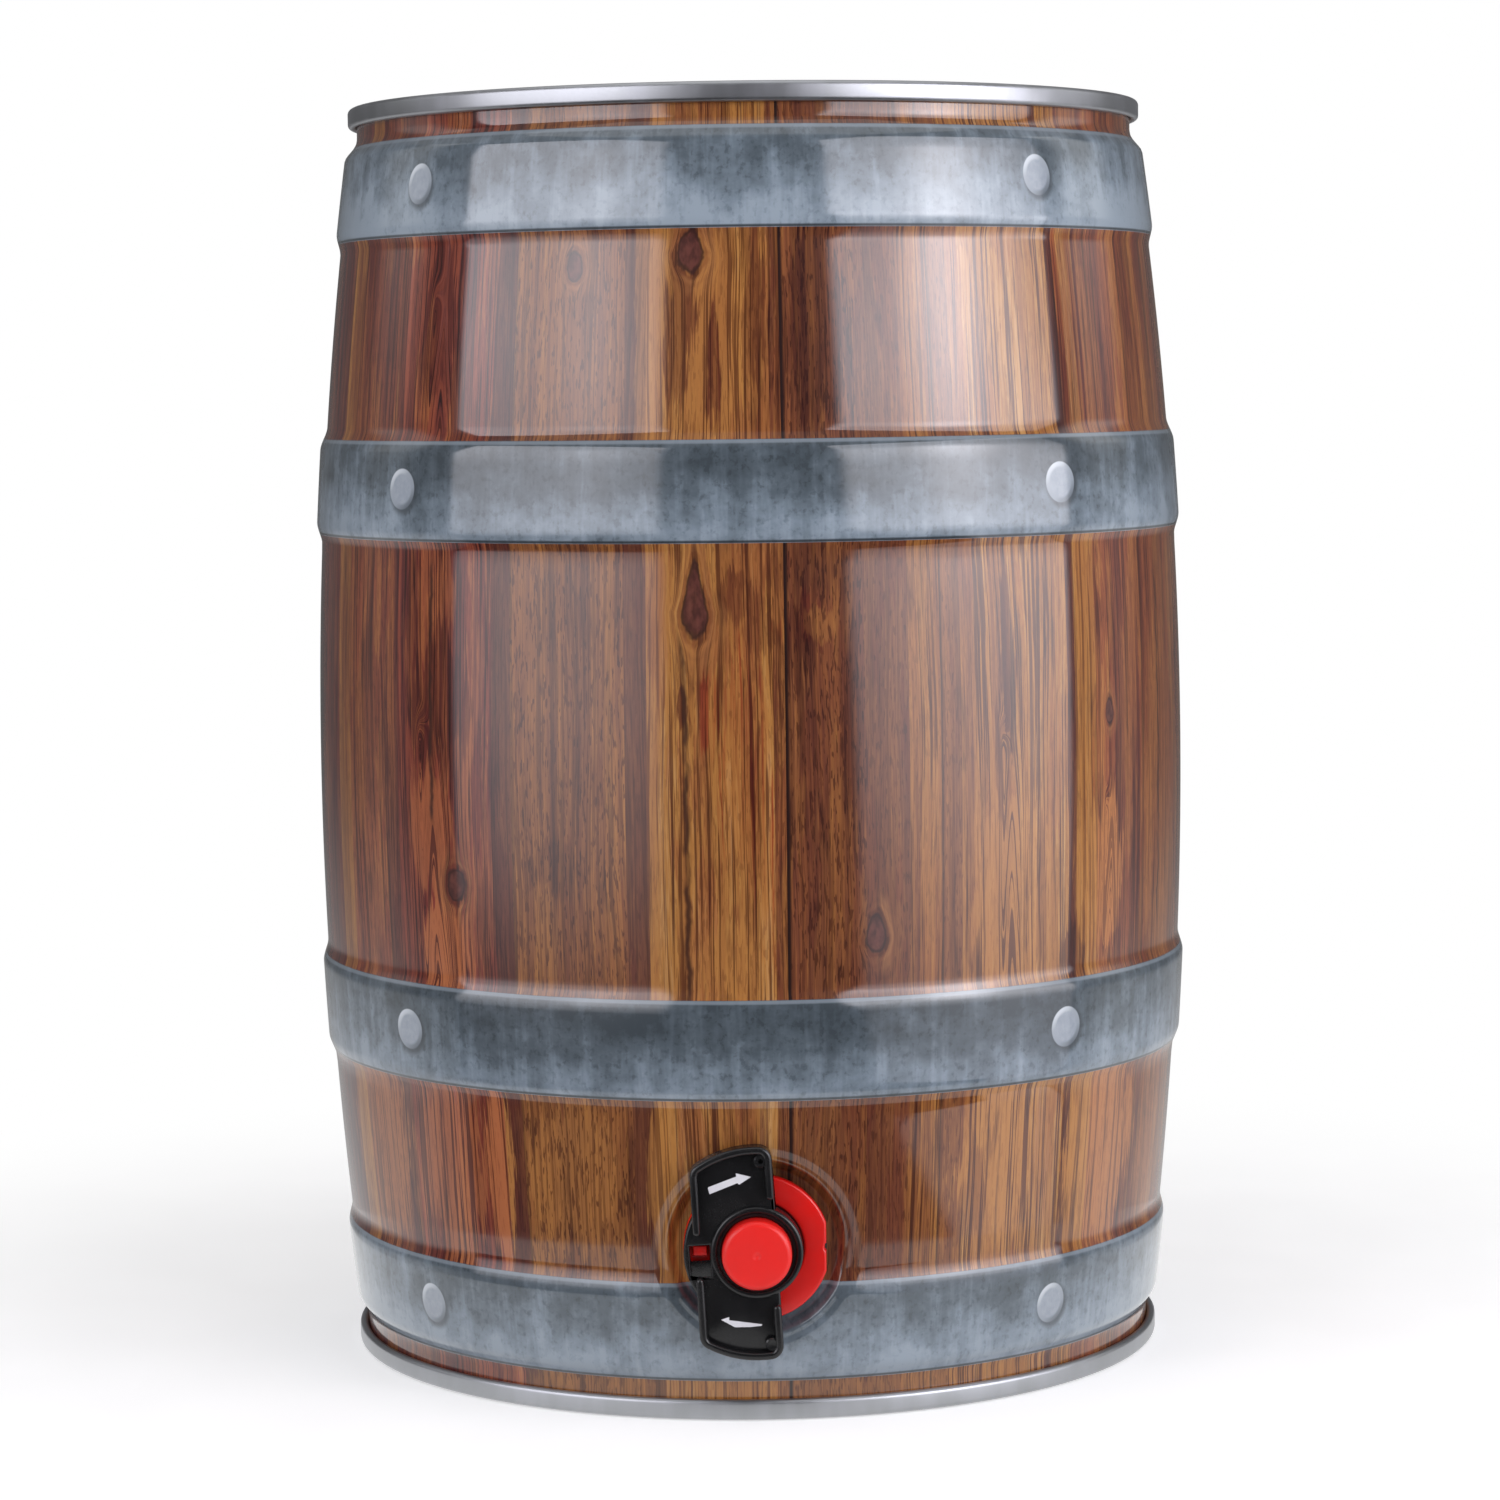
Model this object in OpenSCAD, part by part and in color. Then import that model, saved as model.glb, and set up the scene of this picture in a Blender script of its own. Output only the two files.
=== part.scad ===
// Party keg in the shape of a barrel, with a pull-out tap low on the front and a vent bung on top.
// The keg stands on z = 0 with its axis on Z, and the tap faces -Y. All sizes are in millimetres.

/* [Keg] */
// Overall height over both seams
keg_h = 245; // [240:1:252]
// Outer radius of the belly, between the hoops
belly_r = 86; // [84.5:0.25:89]
// Height of the widest level above the base
belly_z = 116.5; // [112:0.5:121]
// Radius of the staves' bow, seen from the side
bow_r = 870; // [800:10:1000]
// Thickness of the body sheet
body_sheet = 0.4; // [0.3:0.02:0.44]
// Outer radius of the neck beside the base seam
base_neck_r = 78.5; // [77.7:0.1:79.2]
// Outer radius of the neck beside the top seam
top_neck_r = 76.5; // [75.7:0.1:77.2]
// Distance from the rim to where the neck starts to swell
neck_h = 5.4; // [5:0.1:6]
// Height over which the neck swells into the barrel
neck_blend = 5; // [4:0.5:7]

/* [Hoops] */
// Width of each embossed hoop
hoop_w = 18.7; // [14:0.2:22]
// Height that a hoop stands out of the barrel
hoop_rise = 1.15; // [0.5:0.05:1.5]
// Width of the rounded step at a hoop's edge
hoop_blend = 4.5; // [3:0.25:6]
// Height of the base hoop's middle above the base
base_hoop_z = 16.4; // [15.5:0.1:18]
// Height of the lower bilge hoop's middle above the base
low_hoop_z = 69.4; // [67:0.1:73]
// Drop of the upper bilge hoop's middle below the top
high_hoop_drop = 73.9; // [68:0.1:80]
// Drop of the top hoop's middle below the top
top_hoop_drop = 17.1; // [16:0.1:19]

/* [Ends] */
// Thickness of the sheet of the two ends
end_sheet = 0.4; // [0.3:0.02:0.5]
// Height of the double seam
seam_h = 3.8; // [3.4:0.1:4.4]
// Gap between the layers of the seam
seam_gap = 0.04; // [0.02:0.01:0.06]
// Thickness of the sealing compound in the seam
compound_t = 0.38; // [0.3:0.02:0.5]
// Bend radius of the seam's outer corners, in the middle of the sheet
seam_bend_r = 0.7; // [0.6:0.05:0.8]
// Overlap of the two hooks inside the seam
hook_overlap = 1.6; // [1.2:0.1:1.8]
// Depth of the end panel below the rim
well_depth = 8.3; // [7.8:0.1:9.5]
// Width of the countersink groove round the panel
groove_w = 3.6; // [3:0.1:5]
// Depth of the countersink groove below the panel
groove_h = 1.8; // [1.6:0.1:2.5]
// Bend radius of the countersink groove, in the middle of the sheet
groove_bend_r = 0.7; // [0.5:0.05:0.8]

/* [Bung] */
// Radius of the filling hole in the top end
bung_hole_r = 17.5; // [15:0.25:20]
// Overhang of the bung's flange past the filling hole
bung_flange = 3; // [2:0.25:5]
// Thickness of the bung's flange
bung_flange_t = 2; // [1.5:0.1:2.2]
// Overhang of the bung's snap lip under the panel
bung_lip = 1.4; // [1:0.1:2]
// Length of the bung below the panel
bung_len = 6; // [5.5:0.25:8]
// Slack between the bung and the edge of its hole
bung_gap = 0.05; // [0.02:0.01:0.1]
// Radius of the vent plug's stem
vent_r = 9; // [8:0.25:10]
// Running gap between the vent plug's stem and the bung
vent_gap = 0.06; // [0.03:0.01:0.1]
// Radius of the vent plug's head
vent_head_r = 12.5; // [11.5:0.25:14]
// Thickness of the vent plug's head
vent_head_t = 2.2; // [1.5:0.1:2.4]
// Height of the finger bar on the head
vent_bar_h = 2; // [1:0.1:2.2]
// Thickness of the finger bar
vent_bar_w = 5; // [3:0.25:7]
// Gap under the vent plug's head, which is also the air path
vent_lift = 0.3; // [0.2:0.05:0.5]
// Radius of the air port in the stem
vent_port_r = 1.2; // [0.8:0.1:1.5]
// Radius of the air channel inside the stem
vent_channel_r = 3; // [2:0.25:4]
// Height of the snap bead at the foot of the stem
vent_bead = 0.5; // [0.3:0.05:0.8]
// Length of the snap bead
vent_bead_len = 1.2; // [1:0.1:1.6]
// Thickness of the vent plug's O-ring
vent_ring_d = 0.9; // [0.7:0.05:1.2]

/* [Tap place] */
// Height of the tap's axis above the base
tap_z = 32.5; // [31:0.25:36]
// Depth of the stamped recess at the tap's axis
recess_depth = 3.2; // [2.6:0.1:4]
// Radius of the recess floor
recess_r = 15; // [14.5:0.1:16.5]
// Widening of the recess from its floor out to the axis depth
recess_flare = 1; // [0.6:0.1:2]

/* [Tap housing] */
// Radius of the flange
flange_r = 13.5; // [12.5:0.1:14]
// Thickness of the flange
flange_t = 2; // [1.6:0.1:2.6]
// Distance from the axis to the flat on the flange
flange_flat = 12.75; // [12.2:0.05:12.9]
// Chamfer round the front edge of the flange
flange_edge = 0.5; // [0.2:0.1:0.8]
// Thickness of the rubber washer behind the flange
gasket_t = 1; // [0.6:0.1:1.4]
// Set-back of the washer's edge from the flange's edge
gasket_inset = 0.6; // [0.3:0.1:1.2]
// Wall of the valve barrel
barrel_wall = 1.8; // [1.4:0.1:2]
// Gap between the valve barrel and its hole in the keg
hole_gap = 0.3; // [0.2:0.05:0.5]
// Height of the snap bead past the edge of the hole
barb_h = 0.5; // [0.3:0.05:0.8]
// Length of the snap bead
barb_len = 1.6; // [1.2:0.1:2.4]
// Thickness of the barrel's closed end
barrel_end_t = 2; // [1.5:0.1:3]
// Width of the lock stub on the flange, seen in the handle's window
stub_w = 2.6; // [2:0.1:2.8]
// Height of the lock stub's face
stub_h = 1.8; // [1.2:0.1:2.2]
// Rise of the lock stub from the flange
stub_rise = 1.2; // [0.6:0.1:1.4]

/* [Handle] */
// Angle of the handle at rest, anticlockwise from upright
handle_tilt = 3; // [0:0.5:6]
// Radius of the wings' tips
wing_r = 19.7; // [18.5:0.1:20.5]
// Distance from the axis to the wings' left edge
wing_left = 11.4; // [10.8:0.1:12]
// Distance from the axis to the wings' right edge
wing_right = 3.8; // [3.4:0.1:5]
// Gap between the wings' backs and the keg's wall
wing_gap = 0.4; // [0.3:0.05:0.8]
// Thickness of the wings' plate
plate_t = 1.5; // [1.2:0.1:2]
// Height of the wings' rim above the plate
rim_h = 1.9; // [1.2:0.1:2.4]
// Width of the wings' rim
rim_w = 1.45; // [1.1:0.05:1.8]
// Radius of the wings' outer corners
wing_corner = 2.5; // [2:0.1:3]
// Height beside the axis where the left rims start
rim_left_y = 4.6; // [3:0.2:6]
// Height beside the axis where the right rims start
rim_right_y = 11.5; // [9.5:0.25:13]
// Radius of the round bosses in the wings' corners
boss_r = 1.25; // [0.9:0.05:1.5]
// Radius of the half disc that covers the flange
disc_r = 13.4; // [12.8:0.1:14]
// Wall of the half disc's skirt
skirt_t = 1.1; // [0.8:0.1:1.4]
// Gap between the half disc and the flange
disc_gap = 0.3; // [0.2:0.05:0.5]
// Width of the window in the half disc
window_w = 3.6; // [3:0.1:3.8]
// Height of the window
window_h = 5.8; // [4:0.2:6.4]
// Set-back of the window from the half disc's edge
window_inset = 1.2; // [1.1:0.1:1.4]
// Slope of the window's lower wall from the plate
window_slope = 40; // [30:1:60]
// Rise of the hub above the plate
hub_rise = 0.8; // [0.4:0.1:1.6]
// Chamfer round the front of the hub
hub_edge = 0.6; // [0.3:0.1:0.8]

/* [Valve sleeve] */
// Outer radius of the valve sleeve and hub
sleeve_r = 8.5; // [8.3:0.05:8.7]
// Wall of the valve sleeve
sleeve_wall = 1.5; // [1.4:0.05:1.6]
// Running gap between the sleeve and the housing, and between the spout and the hub
run_gap = 0.08; // [0.05:0.01:0.1]
// Length of the narrow bore at the front, which guides the spout
guide_len = 12.9; // [12:0.1:14]
// Height of the snap bead that keeps the sleeve in the housing
bead_h = 0.35; // [0.2:0.05:0.5]
// Length of that snap bead
bead_len = 1.2; // [0.8:0.1:1.6]
// Free play along the axis at the snap bead and at the sleeve's end
end_play = 0.4; // [0.3:0.05:0.6]
// Radius of the valve port
port_r = 2.6; // [2:0.1:2.8]
// Distance from the sleeve's end to the port's middle
port_d = 9; // [8:0.25:10]
// Wall of the rubber bush in the housing's port
bush_wall = 1; // [0.8:0.1:1.3]
// Overhang of the bush's rim on the housing
bush_rim = 1.2; // [0.8:0.1:1.4]
// Thickness of the bush's rim
bush_rim_t = 1.2; // [0.8:0.1:1.6]
// Gap between the bush and its hole and sleeve
bush_gap = 0.04; // [0.02:0.01:0.08]
// Thickness of the sleeve's O-rings
sleeve_ring_d = 0.76; // [0.7:0.02:0.8]
// Thickness of the plug in the sleeve's end
plug_t = 2; // [1.5:0.1:2.5]
// Thickness of the plug's lip
plug_lip = 0.8; // [0.5:0.1:1.2]

/* [Spout] */
// Outer radius of the spout
spout_r = 6.4; // [6.2:0.05:6.5]
// Wall of the spout
spout_wall = 1.5; // [1.2:0.1:2]
// Thickness of the spout's closed front
spout_front_t = 2.2; // [1.6:0.1:3]
// Rise of the spout's button above the wings' plate
button_rise = 4.1; // [3:0.1:5]
// Chamfer round the button
button_edge = 0.7; // [0.4:0.1:1]
// Travel of the spout when it is pulled out
spout_travel = 33.5; // [26:0.5:36]
// Radius of the pouring hole
outlet_r = 3.2; // [2.4:0.1:3.4]
// Length of the stop bead on the spout's rear end
stop_len = 2; // [1.5:0.1:3]
// Width of the two guide lugs on the stop bead
lug_w = 2; // [1.5:0.1:3]
// Reach of the guide lugs into the sleeve's wall
lug_h = 0.3; // [0.2:0.05:0.35]
// Gap round the guide lugs in their grooves
lug_gap = 0.12; // [0.08:0.01:0.14]
// Thickness of the spout's O-rings
spout_ring_d = 0.96; // [0.9:0.02:1.04]

/* [Hidden] */
$fn = 96;

tin = [0.72, 0.73, 0.74];
wood = [0.45, 0.24, 0.12];
red = [0.85, 0.10, 0.08];
black = [0.06, 0.06, 0.07];
rubber = [0.16, 0.16, 0.17];
white = [0.9, 0.9, 0.88];

// Cuts run this far past the faces that they open
past = 1;
// Segments in the wall's curve and in a bend of a quarter turn
wall_steps = 94;
bend_steps = 5;

// Smooth step from 0 to 1
function ease(t) = t <= 0 ? 0 : t >= 1 ? 1 : t * t * (3 - 2 * t);

// Share of a hoop's rise at height z, for the hoop whose middle is at mid
function hoop(z, mid) =
    ease((z - mid + hoop_w / 2) / hoop_blend + 0.5) * ease((mid + hoop_w / 2 - z) / hoop_blend + 0.5);
hoop_mids = [base_hoop_z, low_hoop_z, keg_h - high_hoop_drop, keg_h - top_hoop_drop];
function hoops(z) = max([for (mid = hoop_mids) hoop(z, mid)]);

// Outer radius of the keg at height z: a bowed barrel with hoops, drawn in to the neck at both ends
function barrel(z) = belly_r - pow(z - belly_z, 2) / (2 * bow_r) + hoop_rise * hoops(z);
function neck(z) = z < keg_h / 2 ? base_neck_r : top_neck_r;
function wall_r(z) = neck(z) + (barrel(z) - neck(z)) * ease((min(z, keg_h - z) - neck_h) / neck_blend);

// Points along a bend round c, from angle a0 to a1
function bend(c, r, a0, a1) =
    let (n = ceil(abs(a1 - a0) / 90 * bend_steps))
    [for (i = [0 : n]) c + r * [cos(a0 + (a1 - a0) * i / n), sin(a0 + (a1 - a0) * i / n)]];

// A sheet of thickness t along the middle line p, as a closed outline
function unit(v) = v / norm(v);
function left_of(v) = [-v[1], v[0]];
function heading(p, i) = unit(p[min(i + 1, len(p) - 1)] - p[min(i, len(p) - 2)]);
function mitre(p, i) =
    let (a = left_of(heading(p, max(i - 1, 0))), b = left_of(heading(p, i)))
    (a + b) / (1 + a * b);
function thicken(p, t) = concat(
    [for (i = [0 : len(p) - 1]) p[i] + mitre(p, i) * t / 2],
    [for (i = [len(p) - 1 : -1 : 0]) p[i] - mitre(p, i) * t / 2]
);

// Layers of the double seam from the inside out, as distances outward from the neck's outer face
chuck_off = -body_sheet - seam_gap - end_sheet / 2;
end_hook_off = seam_gap + end_sheet / 2;
body_hook_in = end_hook_off + end_sheet / 2 + seam_gap;
body_hook_out = body_hook_in + body_sheet;
compound_off = body_hook_out + seam_gap;
seam_off = compound_off + compound_t + seam_gap + end_sheet / 2;

// Levels of the double seam, as distances from the rim
body_hook_top = end_sheet + seam_gap;
body_bend_off = (body_hook_out - body_sheet) / 2;
body_bend_out = (body_hook_out + body_sheet) / 2;
body_bend_in = body_bend_out - body_sheet;
body_bend_d = body_hook_top + body_bend_out;
end_bend_r = (seam_off - end_hook_off) / 2;
end_bend_d = seam_h - end_sheet / 2 - end_bend_r;
hooks_mid = (body_bend_d + end_bend_d) / 2;
body_hook_tip = hooks_mid + hook_overlap / 2;
end_hook_tip = hooks_mid - hook_overlap / 2;
compound_d0 = end_sheet + seam_bend_r;

// Levels of the end panel, as distances from the rim
panel_mid = well_depth + end_sheet / 2;
panel_in = well_depth + end_sheet;
groove_mid = panel_mid + groove_h;

// Levels of the bung and vent plug, as distances from the rim
bung_top = well_depth - bung_flange_t;
bung_foot = panel_in + bung_len;
vent_head_d = bung_top - vent_lift;
vent_foot = bung_foot + vent_lift + vent_bead_len;
vent_port_d = (panel_in + bung_foot) / 2;
vent_ring_at = (vent_port_d + vent_port_r + bung_foot) / 2;
vent_bore = vent_r + vent_gap;
ring_slack = 0.04;

// Levels of the tap, as distances from the keg's axis
tap_wall = wall_r(tap_z);
recess_floor = tap_wall - recess_depth;
flange_back = recess_floor + gasket_t;
flange_face = flange_back + flange_t;
disc_back = flange_face + disc_gap;
wing_back = wall_r(tap_z + wing_r) + wing_gap;
plate_face = wing_back + plate_t;
rim_face = plate_face + rim_h;
hub_face = plate_face + hub_rise;
button_face = plate_face + button_rise;

// Radii of the tap
bore_r = sleeve_r - sleeve_wall;
housing_bore = sleeve_r + run_gap;
barrel_r = housing_bore + barrel_wall;
hole_r = barrel_r + hole_gap;
guide_r = spout_r + run_gap;
bush_r = port_r + bush_wall;

// The O-rings: a running gap to what turns or slides past them, and slack in their grooves
ring_run = 0.04;
sleeve_ring_mid = housing_bore - ring_run - sleeve_ring_d / 2;
sleeve_groove_r = sleeve_ring_mid - sleeve_ring_d / 2 - ring_slack;
spout_ring_mid = spout_r + ring_run + spout_ring_d / 2;
spout_groove_r = spout_ring_mid + spout_ring_d / 2 + ring_slack;
groove_room = 0.2;

// Levels along the valve, from the front to the back
wiper_at = hub_face - hub_edge - spout_ring_d;
guide_back = hub_face - guide_len;
spout_seal_at = guide_back + spout_ring_d + groove_room;
outlet_at = (wiper_at + spout_seal_at) / 2;
stop_front = guide_back - spout_travel - end_play;
spout_back = stop_front - stop_len - end_play;
plug_front = spout_back - end_play;
sleeve_back = plug_front - plug_t;
barrel_floor = sleeve_back - plug_lip - end_play;
barrel_back = barrel_floor - barrel_end_t;
port_at = sleeve_back + port_d;
rear_ring_at = (sleeve_back + port_at - port_r) / 2;
front_ring_at = port_at + port_r + (port_at - port_r - rear_ring_at);
bead_at = flange_back - bead_len;
barb_front = recess_floor - body_sheet - hole_gap;

// The tap's own frame: x to the right, y up, z out along the tap's axis from the keg's axis
module at_tap() {
    translate([0, 0, tap_z]) rotate([90, 0, 0]) children();
}

// The top end's frame: z runs down into the keg from the rim's plane
module at_top() {
    translate([0, 0, keg_h]) mirror([0, 0, 1]) children();
}

// Ring of rectangular section on the z axis
module ring(r_in, r_out, z0, z1) {
    rotate_extrude() polygon([[r_in, z0], [r_out, z0], [r_out, z1], [r_in, z1]]);
}

// O-ring of thickness d round the z axis
module o_ring(r_mid, d, z) {
    translate([0, 0, z]) rotate_extrude() translate([r_mid, 0]) circle(d = d, $fn = 32);
}

// Outline of half the body's wall, from the base up, drawn in by inset
function wall_line(inset) = [
    for (i = [0 : wall_steps])
        let (z = neck_h + (keg_h - 2 * neck_h) * i / wall_steps) [wall_r(z) - inset, z]
];
function flipped(p) = [for (i = [len(p) - 1 : -1 : 0]) [p[i][0], keg_h - p[i][1]]];

// Outlines at an end of the body with neck radius n, from the axis out: the hook, and the open mouth
function bend_mid(n) = [n + body_bend_off, body_bend_d];
function body_hook(n) = concat(
    [[0, body_hook_top]],
    bend(bend_mid(n), body_bend_out, -90, 0),
    [[n + body_hook_out, body_hook_tip], [n + body_hook_in, body_hook_tip]],
    bend(bend_mid(n), body_bend_in, 0, -180)
);
function body_mouth(n) = concat(
    [[0, -past], [n + body_bend_off, -past]],
    bend(bend_mid(n), body_bend_out, -90, -180)
);

// The keg's outside, filled to the axis, with the two body hooks
module keg_outside() {
    rotate_extrude()
        polygon(concat(body_hook(base_neck_r), wall_line(0), flipped(body_hook(top_neck_r))));
}

// The space inside the sheet, open through both ends
module keg_inside() {
    rotate_extrude()
        polygon(concat(body_mouth(base_neck_r), wall_line(body_sheet), flipped(body_mouth(top_neck_r))));
}

// The stamped recess for the tap, grown by a sheet thickness for its inner face
module recess_form(grow) {
    flare = recess_flare / recess_depth;
    reach = recess_depth + wing_r / 2;
    r0 = recess_r + grow * (sqrt(1 + flare * flare) - flare);
    at_tap() translate([0, 0, recess_floor - grow])
        cylinder(h = reach, r1 = r0, r2 = r0 + flare * reach);
}

module keg_body() {
    color(wood) difference() {
        keg_outside();
        difference() {
            keg_inside();
            recess_form(body_sheet);
        }
        recess_form(0);
        at_tap() translate([0, 0, recess_floor - past - body_sheet])
            cylinder(h = 2 * past + body_sheet, r = hole_r);
    }
}

// An end with its seam on a neck of radius n, from the hook's tip over the rim and down to the panel
module can_end(n, hole) {
    chuck = n + chuck_off;
    hook = n + end_hook_off;
    seam = n + seam_off;
    groove = chuck - groove_w;
    rim = concat(
        [[hook, end_hook_tip]],
        bend([hook + end_bend_r, end_bend_d], end_bend_r, 180, 0),
        bend([seam - seam_bend_r, end_sheet / 2 + seam_bend_r], seam_bend_r, 0, -90),
        bend([chuck + seam_bend_r, end_sheet / 2 + seam_bend_r], seam_bend_r, -90, -180)
    );
    panel = concat(
        bend([chuck - groove_bend_r, groove_mid - groove_bend_r], groove_bend_r, 0, 90),
        bend([groove + groove_bend_r, groove_mid - groove_bend_r], groove_bend_r, 90, 180),
        bend([groove - groove_bend_r, panel_mid + groove_bend_r], groove_bend_r, 0, -90),
        [[hole, panel_mid]]
    );
    rotate_extrude() polygon(thicken(concat(rim, panel), end_sheet));
}

module top_end() {
    color(tin) at_top() can_end(top_neck_r, bung_hole_r);
}

module bottom_end() {
    color(tin) can_end(base_neck_r, 0);
}

module seam_compound(n) {
    color(rubber) ring(n + compound_off, n + compound_off + compound_t, compound_d0, body_hook_tip);
}

module top_seam_compound() {
    at_top() seam_compound(top_neck_r);
}

module bottom_seam_compound() {
    seam_compound(base_neck_r);
}

// Rubber bung: flange on the panel, neck in the hole, tapered snap lip below, air slot on the +Y side
module bung_grommet() {
    neck = bung_hole_r - bung_gap;
    lip = bung_hole_r + bung_lip;
    slot_w = 2 * vent_port_r;
    color(rubber) at_top() difference() {
        rotate_extrude() polygon([
            [vent_bore, bung_top], [bung_hole_r + bung_flange, bung_top],
            [bung_hole_r + bung_flange, well_depth], [neck, well_depth],
            [neck, panel_in], [lip, panel_in],
            [neck - bung_lip, bung_foot], [vent_bore, bung_foot]
        ]);
        translate([-slot_w / 2, vent_r - past, bung_top - past])
            cube([slot_w, past + vent_port_r, vent_port_d + vent_port_r - bung_top + past]);
    }
}

// Vent plug: a quarter turn brings its port from the +X side to the air slot
module vent_core() {
    ring_groove = vent_bore - ring_run - vent_ring_d - ring_slack;
    bar_len = 2 * (vent_head_r - vent_bar_h);
    color(red) at_top() difference() {
        union() {
            rotate_extrude() polygon([
                [0, vent_head_d - vent_head_t], [vent_head_r, vent_head_d - vent_head_t],
                [vent_head_r, vent_head_d], [vent_r, vent_head_d],
                [vent_r, bung_foot + vent_lift], [vent_r + vent_bead, bung_foot + vent_lift],
                [vent_r, vent_foot], [0, vent_foot]
            ]);
            translate([-bar_len / 2, -vent_bar_w / 2, vent_head_d - vent_head_t - vent_bar_h])
                cube([bar_len, vent_bar_w, vent_bar_h + vent_head_t / 2]);
        }
        translate([0, 0, vent_port_d - vent_port_r])
            cylinder(h = vent_foot + past - vent_port_d + vent_port_r, r = vent_channel_r);
        translate([0, 0, vent_port_d]) rotate([0, 90, 0])
            cylinder(h = vent_r + past, r = vent_port_r);
        ring(ring_groove, vent_r + past, vent_ring_at - vent_ring_d / 2 - groove_room / 2,
            vent_ring_at + vent_ring_d / 2 + groove_room / 2);
    }
}

module vent_seal() {
    color(rubber) at_top()
        o_ring(vent_bore - ring_run - vent_ring_d / 2, vent_ring_d, vent_ring_at);
}

// Red housing: flange with a flat and a lock stub, valve barrel with a closed end and an inlet port below
module tap_housing() {
    stub_x = disc_r - window_inset - window_w / 2;
    color(red) at_tap() difference() {
        union() {
            difference() {
                rotate_extrude() polygon([
                    [0, flange_back], [flange_r, flange_back], [flange_r, flange_face - flange_edge],
                    [flange_r - flange_edge, flange_face], [0, flange_face]
                ]);
                translate([flange_flat, -flange_r, flange_back - past])
                    cube([flange_r, 2 * flange_r, flange_t + 2 * past]);
            }
            translate([0, 0, barrel_back]) cylinder(h = flange_face - barrel_back, r = barrel_r);
            rotate_extrude() polygon([
                [barrel_r - barrel_wall / 2, barb_front], [hole_r + barb_h, barb_front],
                [barrel_r - barrel_wall / 2, barb_front - barb_len]
            ]);
            translate([-stub_x - stub_w / 2, -stub_h / 2, flange_back])
                cube([stub_w, stub_h, flange_t + stub_rise]);
        }
        translate([0, 0, barrel_floor]) cylinder(h = flange_face - barrel_floor + past, r = housing_bore);
        ring(housing_bore - past, housing_bore + bead_h,
            bead_at - bead_len / 2 - end_play / 2, bead_at + bead_len / 2 + end_play / 2);
        translate([0, 0, port_at]) rotate([90, 0, 0]) cylinder(h = barrel_r + past, r = bush_r + bush_gap);
    }
}

module wall_gasket() {
    color(rubber) at_tap() ring(barrel_r + hole_gap / 2, flange_r - gasket_inset, recess_floor, flange_back);
}

// Rubber bush: lines the housing's inlet port, with a rim outside the barrel
module port_seal() {
    color(rubber) at_tap() difference() {
        translate([0, 0, port_at]) rotate([90, 0, 0]) union() {
            cylinder(h = barrel_r + bush_rim_t, r = bush_r);
            translate([0, 0, barrel_r - barrel_wall]) cylinder(h = barrel_wall + bush_rim_t, r = bush_r + bush_rim);
        }
        difference() {
            translate([0, 0, barrel_back]) cylinder(h = flange_back - barrel_back, r = barrel_r + bush_gap);
            translate([0, 0, port_at]) rotate([90, 0, 0]) cylinder(h = barrel_r + past, r = bush_r);
        }
        translate([0, 0, barrel_back]) cylinder(h = flange_back - barrel_back, r = housing_bore + bush_gap);
        translate([0, 0, port_at]) rotate([90, 0, 0]) cylinder(h = barrel_r + bush_rim_t + past, r = port_r);
    }
}

// Outline of the two wings, drawn in by inset: straight sides, tips on a circle, rounded corners
function wing_corner_at(side, r, q) = [side - sign(side) * q, sqrt(pow(r - q, 2) - pow(abs(side) - q, 2))];
function wing_tip(inset) =
    let (
        r = wing_r - inset,
        q = wing_corner - inset,
        right = wing_corner_at(wing_right - inset, r, q),
        left = wing_corner_at(inset - wing_left, r, q),
        turn_r = atan2(right[1], right[0]),
        turn_l = atan2(left[1], left[0])
    )
    concat(bend(right, q, 0, turn_r), bend([0, 0], r, turn_r, turn_l), bend(left, q, turn_l, 180));
module wings(inset) {
    tip = wing_tip(inset);
    polygon(concat(tip, [for (i = [len(tip) - 1 : -1 : 0]) [tip[i][0], -tip[i][1]]]));
}

// The rims run along both wings' sides and tips, and stop short of the hub
module wing_rims() {
    middle = (wing_right - wing_left) / 2;
    difference() {
        wings(0);
        wings(rim_w);
        translate([-wing_left - past, -rim_left_y]) square([middle + wing_left + past, 2 * rim_left_y]);
        translate([middle, -rim_right_y]) square([wing_right - middle + past, 2 * rim_right_y]);
    }
}

module half_disc(r) {
    intersection() {
        circle(r);
        translate([-r, -r]) square([r, 2 * r]);
    }
}

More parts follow.
